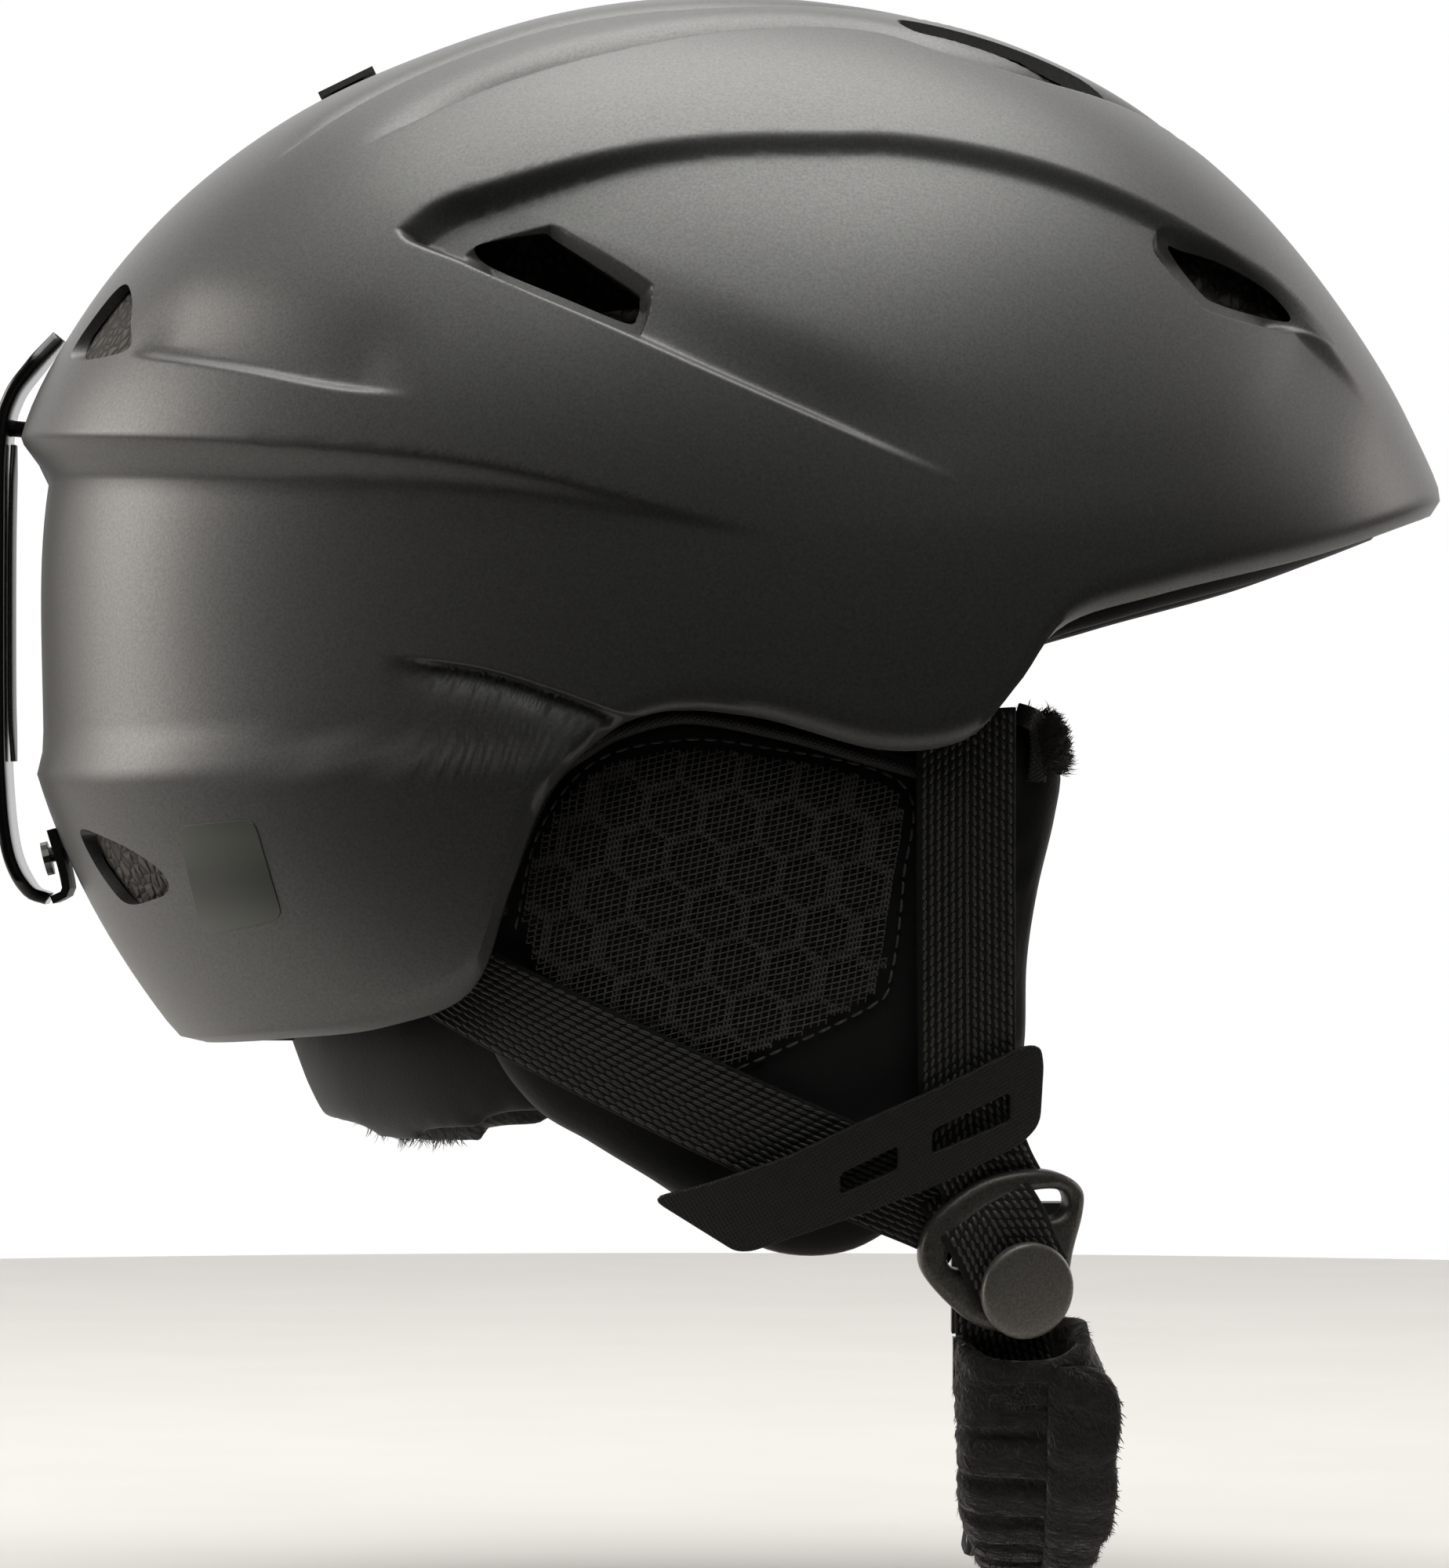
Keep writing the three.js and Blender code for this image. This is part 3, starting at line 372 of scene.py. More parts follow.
FINISH = {
    "paint": matte_paint(), "foam": expanded_foam(), "softshell": softshell(), "fleece": fleece(),
    "fur": faux_fur(), "fibre": fur_fibre(), "yarn": yarn("polypropylene yarn", "#2d2c29", "#5f5e58"),
    "dark yarn": yarn("dark polypropylene yarn", "#23221f", "#4b4a45"), "ground": woven_ground(),
    "ribs": ribbed_rubber(), "rubber": moulded_rubber(), "nylon": moulded_nylon(), "satin": satin_nylon(),
    "disc": satin_nylon("satin painted cap", "#6a6862", "#85827b"), "steel": steel(),
    "label": label_film(), "thread": mesh_thread(),
}

# ---------------------------------------------------------------- curves and meshes

def smooth(t):
    """Soft step from 0 to 1."""
    t = np.clip(t, 0.0, 1.0)
    return t * t * (3 - 2 * t)


def unit(v):
    return v / np.maximum(np.linalg.norm(v, axis=-1, keepdims=True), 1e-9)


def through(pairs, x):
    """Values at x of a smooth curve through [x, value] pairs with rising x."""
    xs, ys = np.array(pairs, float).T
    x = np.clip(x, xs[0], xs[-1])
    i = np.clip(np.searchsorted(xs, x, side="right") - 1, 0, len(xs) - 2)
    before, after = np.maximum(i - 1, 0), np.minimum(i + 2, len(xs) - 1)
    h = xs[i + 1] - xs[i]
    t = (x - xs[i]) / h
    m0 = (ys[i + 1] - ys[before]) / (xs[i + 1] - xs[before]) * h
    m1 = (ys[after] - ys[i]) / (xs[after] - xs[i]) * h
    return ((2 * t**3 - 3 * t**2 + 1) * ys[i] + (t**3 - 2 * t**2 + t) * m0
            + (3 * t**2 - 2 * t**3) * ys[i + 1] + (t**3 - t**2) * m1)


def run_along(line):
    """Distance run at each point of a line."""
    return np.concatenate([[0], np.cumsum(np.linalg.norm(np.diff(line, axis=0), axis=1))])


def evenly(line, step):
    """The same line with points about a step apart."""
    run = run_along(line)
    at = np.linspace(0, run[-1], max(2, round(run[-1] / step) + 1))
    return np.stack([np.interp(at, run, line[:, k]) for k in range(line.shape[1])], axis=1)


def spline(points, step, closed=False):
    """Evenly spaced points on a smooth curve through given ones."""
    p = np.array(points, float)
    if closed:
        p = np.vstack([p[-1], p, p[0], p[1]])
    else:
        p = np.vstack([2 * p[0] - p[1], p, 2 * p[-1] - p[-2]])
    t = np.linspace(0, 1, 24, endpoint=False)[:, None]
    pieces = []
    for a, b, c, d in zip(p, p[1:], p[2:], p[3:]):
        pieces.append(0.5 * (2 * b + (c - a) * t + (2 * a - 5 * b + 4 * c - d) * t**2
                             + (3 * b - a - 3 * c + d) * t**3))
    line = evenly(np.vstack([*pieces, p[-2]]), step)
    return line[:-1] if closed else line


def rounded(outline, radius, steps=5):
    """Closed outline with its corners turned to arcs."""
    p = np.array(outline, float)
    made = []
    for before, corner, after in zip(np.roll(p, 1, 0), p, np.roll(p, -1, 0)):
        back, on = unit(before - corner), unit(after - corner)
        cut = min(radius, 0.45 * np.linalg.norm(before - corner), 0.45 * np.linalg.norm(after - corner))
        for t in np.linspace(0, 1, steps):
            made.append(corner + back * cut * (1 - t)**2 + on * cut * t**2)
    return np.array(made)


def inside(outline, u, v):
    """True for the points (u, v) that a closed outline holds."""
    held = np.zeros(np.shape(u), bool)
    for (x0, y0), (x1, y1) in zip(outline, np.roll(outline, -1, 0)):
        crosses = (y0 > v) != (y1 > v)
        held ^= crosses & (u < (x1 - x0) * (v - y0) / (y1 - y0 + 1e-12) + x0)
    return held


def nearest(points, line):
    """For each point, the number of the nearest line point and its distance."""
    best = np.zeros(len(points), int)
    gap = np.zeros(len(points))
    for start in range(0, len(points), 4000):
        part = points[start:start + 4000]
        square = ((part**2).sum(1)[:, None] + (line**2).sum(1)[None] - 2 * part @ line.T)
        best[start:start + 4000] = square.argmin(1)
        gap[start:start + 4000] = np.sqrt(np.maximum(square.min(1), 0))
    return best, gap


def put_in_scene(name, points_mm, faces, finish, crease=40, flip_out=False, uv=None):
    """Object with its points in millimetres, shaded smooth up to a crease angle in degrees."""
    mesh = bpy.data.meshes.new(name)
    mesh.from_pydata((np.asarray(points_mm, float) * MM).tolist(), [], faces)
    if uv is not None:
        layer = mesh.uv_layers.new(name="run")
        corners = np.zeros(len(mesh.loops), int)
        mesh.loops.foreach_get("vertex_index", corners)
        layer.data.foreach_set("uv", np.asarray(uv, float)[corners].ravel())
    if flip_out:
        face_outwards(mesh)
    return as_object(name, mesh, finish, crease)


def closed_mesh(name, points_mm, faces):
    """Mesh of a closed shape in millimetres, its faces turned outwards."""
    mesh = bpy.data.meshes.new(name)
    mesh.from_pydata((points_mm * MM).tolist(), [], faces)
    face_outwards(mesh)
    return mesh


def face_outwards(mesh):
    work = bmesh.new()
    work.from_mesh(mesh)
    bmesh.ops.recalc_face_normals(work, faces=work.faces)
    work.to_mesh(mesh)
    work.free()


def as_object(name, mesh, finish, crease=40):
    """Object of a finished mesh in one finish, shaded smooth up to a crease angle in degrees."""
    mesh.name = name
    mesh.materials.clear()
    mesh.materials.append(FINISH[finish])
    mesh.shade_smooth()
    mesh.set_sharp_from_angle(angle=math.radians(crease))
    made = bpy.data.objects.new(name, mesh)
    bpy.context.scene.collection.objects.link(made)
    return made


def settled(work_object):
    """Mesh of an object with its modifiers applied; the object itself is removed."""
    bpy.context.view_layer.update()
    seen = work_object.evaluated_get(bpy.context.evaluated_depsgraph_get())
    mesh = bpy.data.meshes.new_from_object(seen)
    mesh.transform(work_object.matrix_world)
    bpy.data.objects.remove(work_object)
    return mesh


def placed(piece, slot, *nodes, body="root"):
    """Puts a finished piece on its body, in place of CAD nodes; its slot is not used."""
    if nodes:
        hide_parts(*nodes)
    if body:
        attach(piece, body)
    return piece


def grid_faces(rows, columns, closed_columns=False, start=0):
    """Quads of a grid of points stored row by row."""
    faces = []
    for r in range(start, start + (rows - 1) * columns, columns):
        for c in range(columns if closed_columns else columns - 1):
            m = (c + 1) % columns
            faces.append((r + c, r + m, r + columns + m, r + columns + c))
    return faces


def tube_faces(rows, columns):
    """Faces of a tube of rings stored one after another, with both its ends closed."""
    ends = [tuple(range(columns)), tuple(range((rows - 1) * columns, rows * columns))]
    return grid_faces(rows, columns, closed_columns=True) + ends


def swept(centre, across, out, section):
    """Points, faces and UV of a section (across, out) carried along a line, with its ends closed."""
    rows, columns = len(centre), len(section)
    points = (centre[:, None] + across[:, None] * section[None, :, :1] + out[:, None] * section[None, :, 1:])
    faces = tube_faces(rows, columns)
    around = np.concatenate([[0], np.cumsum(np.linalg.norm(np.diff(section, axis=0), axis=1))])
    run = run_along(centre)
    uv = np.stack(np.broadcast_arrays(run[:, None], around[None, :]), axis=-1).reshape(-1, 2) * MM
    return points.reshape(-1, 3), faces, uv


def flat_section(width, thick, round_steps=4):
    """Section of a strap: flat faces and half-round edges."""
    r = thick / 2
    right = [(width / 2 - r + r * math.sin(a), r * math.cos(a))
             for a in np.linspace(0, math.pi, round_steps + 1)]
    left = [(-x, -z) for x, z in right]
    return np.array(right + left)


def ring_section(width, thick, count=12):
    """Oval section."""
    turn = np.linspace(0, 2 * math.pi, count, endpoint=False)
    return np.stack([width / 2 * np.cos(turn), thick / 2 * np.sin(turn)], axis=1)


def turned_shape(at, axis, profile, steps=48):
    """Round shape: profile is [along, radius] pairs, turned round an axis from at."""
    axis = unit(np.array(axis, float))
    first = unit(np.cross(axis, [0.3, 0.2, 1.0]))
    second = np.cross(axis, first)
    turn = np.linspace(0, 2 * math.pi, steps, endpoint=False)[:, None]
    points = [np.array(at) + axis * along + radius * (first * np.cos(turn) + second * np.sin(turn))
              for along, radius in profile]
    return np.vstack(points), tube_faces(len(profile), steps)


# ---------------------------------------------------------------- what repeats: one tree lays it out

def layout_tree():
    """Geometry Nodes: one pattern on every point, turned by the point's own angles, sized and coloured."""
    tree = bpy.data.node_groups.new("laid out pattern", "GeometryNodeTree")
    sockets = [
        ("Points", "NodeSocketGeometry"), ("Pattern", "NodeSocketObject"), ("Size", "NodeSocketFloat"),
        ("Size spread", "NodeSocketFloat"), ("Seed", "NodeSocketInt"), ("Finish", "NodeSocketMaterial"),
    ]
    for name, kind in sockets:
        tree.interface.new_socket(name, in_out="INPUT", socket_type=kind)
    tree.interface.new_socket("Geometry", in_out="OUTPUT", socket_type="NodeSocketGeometry")
    given = add(tree, "NodeGroupInput").outputs
    pattern = add(tree, "GeometryNodeObjectInfo", {"Object": given["Pattern"], "As Instance": True})
    turn = add(tree, "GeometryNodeInputNamedAttribute", {"Name": "turn"}, data_type="FLOAT_VECTOR")
    low = add(tree, "ShaderNodeMath", {0: 1.0, 1: given["Size spread"]}, operation="SUBTRACT")
    high = add(tree, "ShaderNodeMath", {0: 1.0, 1: given["Size spread"]}, operation="ADD")
    spread = add(tree, "FunctionNodeRandomValue", {
        2: low.outputs[0], 3: high.outputs[0], "Seed": given["Seed"]}, data_type="FLOAT")
    size = add(tree, "ShaderNodeMath", {0: given["Size"], 1: spread.outputs[1]}, operation="MULTIPLY")
    laid = add(tree, "GeometryNodeInstanceOnPoints", {
        "Points": given["Points"], "Instance": pattern.outputs["Geometry"],
        "Rotation": turn.outputs["Attribute"], "Scale": size.outputs[0]})
    whole = add(tree, "GeometryNodeRealizeInstances", {"Geometry": laid.outputs[0]})
    coloured = add(tree, "GeometryNodeSetMaterial", {
        "Geometry": whole.outputs[0], "Material": given["Finish"]})
    add(tree, "NodeGroupOutput", {0: coloured.outputs[0]})
    return tree


LAYOUT = layout_tree()


def laid_out(name, places, pattern, finish, size=1.0, spread=0.0, seed=1, crease=180):
    """Object with a pattern at every place: (point, along, out) arrays in millimetres and directions.
    The pattern is (points_mm, faces), with its length on X and its outside on Z."""
    points, along, out = places
    along = unit(along)
    out = unit(out - along * (along * out).sum(1, keepdims=True))
    across = np.cross(out, along)
    angles = [Matrix(np.stack([a, c, o], axis=1).tolist()).to_euler() for a, c, o in zip(along, across, out)]
    mesh = bpy.data.meshes.new(name)
    mesh.from_pydata((points * MM).tolist(), [], [])
    turn = mesh.attributes.new("turn", "FLOAT_VECTOR", "POINT")
    turn.data.foreach_set("vector", np.array([tuple(a) for a in angles], np.float32).ravel())
    work = bpy.data.objects.new(name + " places", mesh)
    bpy.context.scene.collection.objects.link(work)
    shape = put_in_scene(name + " pattern", pattern[0], pattern[1], finish)
    modifier = work.modifiers.new("layout", "NODES")
    modifier.node_group = LAYOUT
    given = {"Pattern": shape, "Size": size, "Size spread": spread, "Seed": seed, "Finish": FINISH[finish]}
    for item in LAYOUT.interface.items_tree:
        if item.in_out == "INPUT" and item.name in given:
            modifier[item.identifier] = given[item.name]
    made = settled(work)
    bpy.data.objects.remove(shape)
    return as_object(name, made, finish, crease)


def join_into(first, *others):
    """One object from several, each keeping its own material."""
    with bpy.context.temp_override(active_object=first, selected_editable_objects=[first, *others]):
        bpy.ops.object.join()
    return first

# ---------------------------------------------------------------- the smooth shell and its relief

def profile_radius(degrees):
    """Radius of the smooth shell's middle section at an angle from CENTRE, 0 to the front and 90 up."""
    around = PROFILE[-1:] + PROFILE + PROFILE[:2]
    turns = [-360] + [0] * len(PROFILE) + [360, 360]
    closed = [[angle + turn, radius] for (angle, radius), turn in zip(around, turns)]
    return through(closed, (degrees + 40) % 360 - 40)


def shell_radius(way):
    """Distance from CENTRE to the smooth shell along unit directions."""
    flat = np.hypot(way[:, 0], way[:, 2])
    radius = profile_radius(np.degrees(np.arctan2(way[:, 2], way[:, 0])))
    share = (flat / radius) ** SQUARENESS + (np.abs(way[:, 1]) / HALF_WIDTH) ** SQUARENESS
    return share ** (-1 / SQUARENESS)


def half_width(x, z):
    """Distance of the smooth shell from the middle plane at a place in side view."""
    dx, dz = np.asarray(x) - CENTRE[0], np.asarray(z) - CENTRE[2]
    radius = profile_radius(np.degrees(np.arctan2(dz, dx)))
    left = np.maximum(0, 1 - (np.hypot(dx, dz) / radius) ** SQUARENESS)
    return HALF_WIDTH * left ** (1 / SQUARENESS)


# Lines of the relief on the left half, on the smooth shell; the right half is their mirror.
SIDE_GROOVE = [(-58, 63, 84), (-39, 60, 94), (-12, 58, 103.5), (12, 52, 108), (38, 45, 109),
               (55, 48, 104), (73, 43.6, 99), (90, 30, 95)]
CROWN_GROOVE = [(-76, 48, 83), (-49, 41, 100), (-31, 39, 107), (-13, 38, 112), (12, 36, 114), (36, 27, 115)]
TEMPLE_ARC = [(-51, 82, 68), (-43, 81, 74), (-31, 82, 78), (0, 82, 85), (30, 80, 87), (45, 77, 87),
              (72, 70, 82), (99, 60, 72), (119, 49, 59), (133, 43, 43)]
TEMPLE_RIDGE = [(-51, 82, 68), (-48, 85, 65), (-36, 92, 60), (-21, 98, 53), (8, 105, 40), (37, 105, 27),
                (58, 103, 18)]
REAR_STEP = [(-104, 44.8), (-82, 41), (-63, 37), (-46, 35)]
EAR_FLARE = [(-56, -13.4), (-36, -16), (-21, -20), (-7, -24.6), (0, -26)]
SIDE_VENT_MOUTH = [(-43, 65.5), (-38, 69), (-24.7, 72.2), (-20.4, 71.6), (-3, 59.2), (-1.6, 56), (-3.5, 49),
                   (-7, 48), (-36.5, 60.4)]
SIDE_VENT = [(-35.8, 63.4), (-34.4, 65.2), (-23, 67), (-20.4, 65.6), (-6, 55.8), (-4.5, 53.6), (-5, 50.5),
             (-7, 49.5), (-18.6, 54.4), (-32, 60.3)]
FRONT_VENT_MOUTH = [(94.6, 70), (97, 72), (105, 68.4), (116, 62.8), (124, 56), (130, 48), (121.6, 50.4),
                    (107, 53.5), (102.6, 57), (96, 65)]
FRONT_VENT = [(96.9, 65.6), (99.8, 65.2), (107.7, 63), (117, 58), (121.4, 52.4), (113.6, 53.4), (107, 55),
              (103.4, 57)]
REAR_VENT = [(34, 46), (56, 46), (52, 52), (46, 57), (38, 60), (34, 57)]
NAPE_VENT = [(37, -47), (50, -48.6), (58, -53), (59, -57), (54, -59.6), (41, -60)]
FRONT_TOP_VENT = [(46, 30), (50, 37), (70, 36), (89, 30), (91, 24), (78, 24), (60, 27)]
CROWN_VENT = [(3, 8), (6, 15), (32, 15), (37, 8)]


class ReliefLine:
    """A line on the shell, to measure how far along it and to its side points lie."""

    def __init__(self, points, towards):
        points = [p if len(p) == 3 else (p[0], float(half_width(p[0], p[1])), p[1]) for p in points]
        self.line = spline(points, 0.8)
        self.run = run_along(self.line)
        self.tangent = unit(np.gradient(self.line, axis=0))
        self.side = unit(np.cross(self.tangent, self.line - CENTRE))
        middle = len(self.line) // 2
        if (self.side[middle] * (np.array(towards) - self.line[middle])).sum() < 0:
            self.side = -self.side

    def measure(self, points):
        """For each point: its run along the line, its distance to the line's side, and its distance."""
        best, gap = nearest(points, self.line)
        offset = points - self.line[best]
        along = self.run[best] + (offset * self.tangent[best]).sum(1)
        return along, (offset * self.side[best]).sum(1), gap


LINES = {
    "side groove": ReliefLine(SIDE_GROOVE, (20, 0, 130)),
    "crown groove": ReliefLine(CROWN_GROOVE, (20, 0, 130)),
    "temple arc": ReliefLine(TEMPLE_ARC, (40, 110, 30)),
    "temple ridge": ReliefLine(TEMPLE_RIDGE, (40, 90, 80)),
    "rear step": ReliefLine(REAR_STEP, (-80, 100, 80)),
    "ear flare": ReliefLine(EAR_FLARE, (-30, 108, 10)),
    "channel edge": ReliefLine(spline(CHANNEL_EDGE, 6), (-60, 108, 60)),
}
MOUTHS = [(SIDE_VENT_MOUTH, SIDE_VENT, 6.0), (FRONT_VENT_MOUTH, FRONT_VENT, 4.5)]
GROOVE_WALL = 2.2
# Middle of each line's wall, to the side of the line itself, and that of all other lines.
WALL_MIDDLE = {"temple arc": 1.8, "side groove": 1.1, "crown groove": 1.1, "channel edge": -2.0}
OTHER_MIDDLE = 0.6
FAR = 99.0


def channel_depth(x, z):
    """How far the strap channel lies below the smooth shell."""
    fade = smooth((24 - x) / 120)
    below = through(CHANNEL_EDGE, x) - z
    ramp_width = 2.4 + 6.6 * fade
    t = np.clip(below / ramp_width, 0, 1)
    drop = 0.55 * smooth(t) + 0.45 * (1 - (1 - t)**2)
    recover = 1 - 0.64 * np.clip((below - ramp_width) / (CHANNEL_EDGE[0][1] - ramp_width
                                                         - CHANNEL_FLOOR_END), 0, 1)**3
    end = smooth((z - CHANNEL_BOTTOM - 1) / (CHANNEL_FLOOR_END - CHANNEL_BOTTOM - 1))
    return CHANNEL_DEPTH * fade * drop * recover * end


def groove_depth(line, points, depth, width, grow):
    """A drop just past the line that rises again over its width, and deepens along its length."""
    along, side, _ = line.measure(points)
    broad = 1 - smooth(side / width(along))
    narrow = np.exp(-np.maximum(side - 2, 0) / 3.6)
    shape = smooth(side / GROOVE_WALL) * (0.35 * broad + 0.65 * narrow)
    return (side > 0) * shape * depth(along) * smooth(along / grow)


def mouth_depth(points, mouth, hole, depth):
    """Funnel round a vent: it slopes from the mouth's outline down to the hole's."""
    outer, inner = spline(mouth, 0.5, closed=True), spline(hole, 0.5, closed=True)
    flat = points[:, [0, 2]]
    near = ((flat > outer.min(0) - 3) & (flat < outer.max(0) + 3)).all(1) & (points[:, 1] > 20)
    made = np.zeros(len(points))
    some = flat[near]
    edge, lip = nearest(some, outer)[1], nearest(some, inner)[1]
    lip[inside(inner, some[:, 0], some[:, 1])] = 0
    share = edge / np.maximum(edge + lip, 1e-6)
    made[near] = inside(outer, some[:, 0], some[:, 1]) * depth * (0.35 * share + 0.65 * smooth(share))
    return made


def relief(points):
    """Depth of all relief below the smooth shell, for points on it."""
    p = points.copy()
    p[:, 1] = np.abs(p[:, 1])
    depth = channel_depth(p[:, 0], p[:, 2])
    depth = depth + groove_depth(LINES["side groove"], p, lambda a: 3.4 + 2.2 * smooth(a / 130),
                                 lambda a: 9 + 3 * smooth(a / 110), 30)
    depth = depth + groove_depth(LINES["crown groove"], p, lambda a: 3.0 + 1.2 * smooth(a / 110),
                                 lambda a: 8 + 2 * smooth(a / 100), 26)
    along, below, _ = LINES["temple arc"].measure(p)
    past_end = smooth((along - LINES["temple arc"].run[-1] + 12) / 24)
    _, above, _ = LINES["temple ridge"].measure(p)
    wall = 0.4 * np.clip(below / 4.4, 0, 1) + 0.6 * smooth(below / 4.4)
    wedge = np.minimum(wall, smooth(above / 2.6)) * (1 - smooth((below - 4) / 52)) * (1 - past_end)
    depth = depth + (2.7 + 2.6 * (1 - smooth(along / 70))) * wedge
    along, above, _ = LINES["temple ridge"].measure(p)
    ends = smooth((along - 6) / 30) * smooth((LINES["temple ridge"].run[-1] - along) / 40)
    depth = depth + ends * 1.5 * (above > 0) * smooth(above / 1.8) * (1 - smooth((above - 1.8) / 16))
    along, above, _ = LINES["rear step"].measure(p)
    ends = smooth(along / 12) * smooth((LINES["rear step"].run[-1] - along) / 16)
    step = 1.7 * smooth(above / 2.2) * (1 - smooth((above - 3) / 17))
    depth = depth + ends * step * (np.abs(p[:, 2] - 40) < 30) * (p[:, 0] < -30)
    along, above, gap = LINES["ear flare"].measure(p)
    ends = smooth(along / 16) * smooth((LINES["ear flare"].run[-1] - along) / 12)
    crease = smooth((above + 7) / 4.5) * (1 - smooth((above + 2) / 2.0))
    depth = depth + ends * 2.3 * crease * (gap < 14)
    for mouth, hole, deep in MOUTHS:
        depth = np.maximum(depth, mouth_depth(p, mouth, hole, deep) + 0.6 * depth)
    return depth


def crisp_gap(points):
    """Distance to the nearest line where the shell needs small faces."""
    p = points.copy()
    p[:, 1] = np.abs(p[:, 1])
    gap = np.full(len(p), FAR)
    for name, line in LINES.items():
        _, side, away = line.measure(p)
        middle = WALL_MIDDLE.get(name, OTHER_MIDDLE)
        gap = np.minimum(gap, np.where(away < 14, np.abs(side - middle), FAR))
    for mouth, _, _ in MOUTHS:
        outer = spline(mouth, 1.0, closed=True)
        near = np.abs(p[:, 1]) > 20
        flat = p[near][:, [0, 2]]
        edge = nearest(flat, outer)[1]
        edge[inside(outer, flat[:, 0], flat[:, 1])] = 0
        gap[near] = np.minimum(gap[near], edge)
    return gap


SHELL_COLUMNS = 288
SHELL_ROWS = 84
LIP_DROP = 0.35


def shell_ways():
    """Unit directions, one row per ring from the rim to just under the crown, and each ring's height."""
    side = spline(RIM, 1.0)
    wide = half_width(side[:, 0], side[:, 1])
    line = np.stack([side[:, 0], wide, side[:, 1]], axis=1)
    line[[0, -1], 1] = 0
    half = SHELL_COLUMNS // 2
    line = evenly(line, run_along(line)[-1] / half)[:half + 1]
    around = np.vstack([line, (line * [1, -1, 1])[-2:0:-1]])
    first = unit(around - CENTRE)
    span = np.arccos(first[:, 2])
    level = unit(first * [1, 1, 0])
    rings, heights = [], []
    for row in range(SHELL_ROWS):
        share = row / SHELL_ROWS
        angle = span * (1 - share)
        rings.append(np.stack([level[:, 0] * np.sin(angle), level[:, 1] * np.sin(angle), np.cos(angle)], 1))
        heights.append(span * share * 130)
    return np.array(rings), np.array(heights)


RINGS, RING_HEIGHTS = shell_ways()


def rim_turn(height):
    """How far the shell rolls in towards its rim, by the height above it."""
    return RIM_TURN * (1 - np.sqrt(np.maximum(0, 1 - (1 - np.clip(height / RIM_HEIGHT, 0, 1))**2)))


def on_shell(ways, heights, inset=0.0, depth=None):
    """Places on the shell along unit directions, with its relief and rolled rim, inset under its face."""
    ways = ways.reshape(-1, 3)
    smooth_place = CENTRE + ways * shell_radius(ways)[:, None]
    down = relief(smooth_place) if depth is None else depth.ravel()
    return smooth_place - ways * (down + rim_turn(heights.ravel()) + inset)[:, None]


def widened(depth, reach):
    """Largest relief depth within a few grid steps, so that an inner wall never shows through."""
    most = depth.copy()
    for _ in range(reach):
        near = [most, np.roll(most, 1, 1), np.roll(most, -1, 1), np.vstack([most[1:], most[-1:]]),
                np.vstack([most[:1], most[:-1]])]
        most = np.max(near, axis=0)
    return most


def base_relief():
    """Relief depth at every ring point."""
    ways = RINGS.reshape(-1, 3)
    return relief(CENTRE + ways * shell_radius(ways)[:, None]).reshape(RINGS.shape[:2])


WIDE_RELIEF = widened(base_relief(), 2)


def closed_bowl(outside, inside_rows, top_outside, top_inside):
    """Points and faces of a bowl between an outer and an inner stack of rings, each rim to crown."""
    columns = SHELL_COLUMNS
    points = np.vstack([*outside, [top_outside], *inside_rows, [top_inside]])
    faces = grid_faces(len(outside), columns, closed_columns=True)
    top = len(outside) * columns
    last = top - columns
    faces += [(last + c, last + (c + 1) % columns, top) for c in range(columns)]
    start = top + 1
    inner = grid_faces(len(inside_rows), columns, closed_columns=True, start=start)
    tip = start + len(inside_rows) * columns
    inner += [(tip - columns + c, tip - columns + (c + 1) % columns, tip) for c in range(columns)]
    faces += [tuple(reversed(f)) for f in inner]
    faces += [((c + 1) % columns, c, start + c, start + (c + 1) % columns) for c in range(columns)]
    return points, faces


def refine(work, outer, gap_limit):
    """Cuts the outer faces near crisp lines in four."""
    middles = np.array([f.calc_center_median() for f in work.faces])
    is_outer = np.array([min(v[outer] for v in f.verts) > 0.5 for f in work.faces])
    chosen = np.zeros(len(middles), bool)
    chosen[is_outer] = crisp_gap(middles[is_outer]) < gap_limit
    edges = {e for f, pick in zip(work.faces, chosen) if pick for e in f.edges}
    bmesh.ops.subdivide_edges(work, edges=list(edges), cuts=1, use_grid_fill=True)


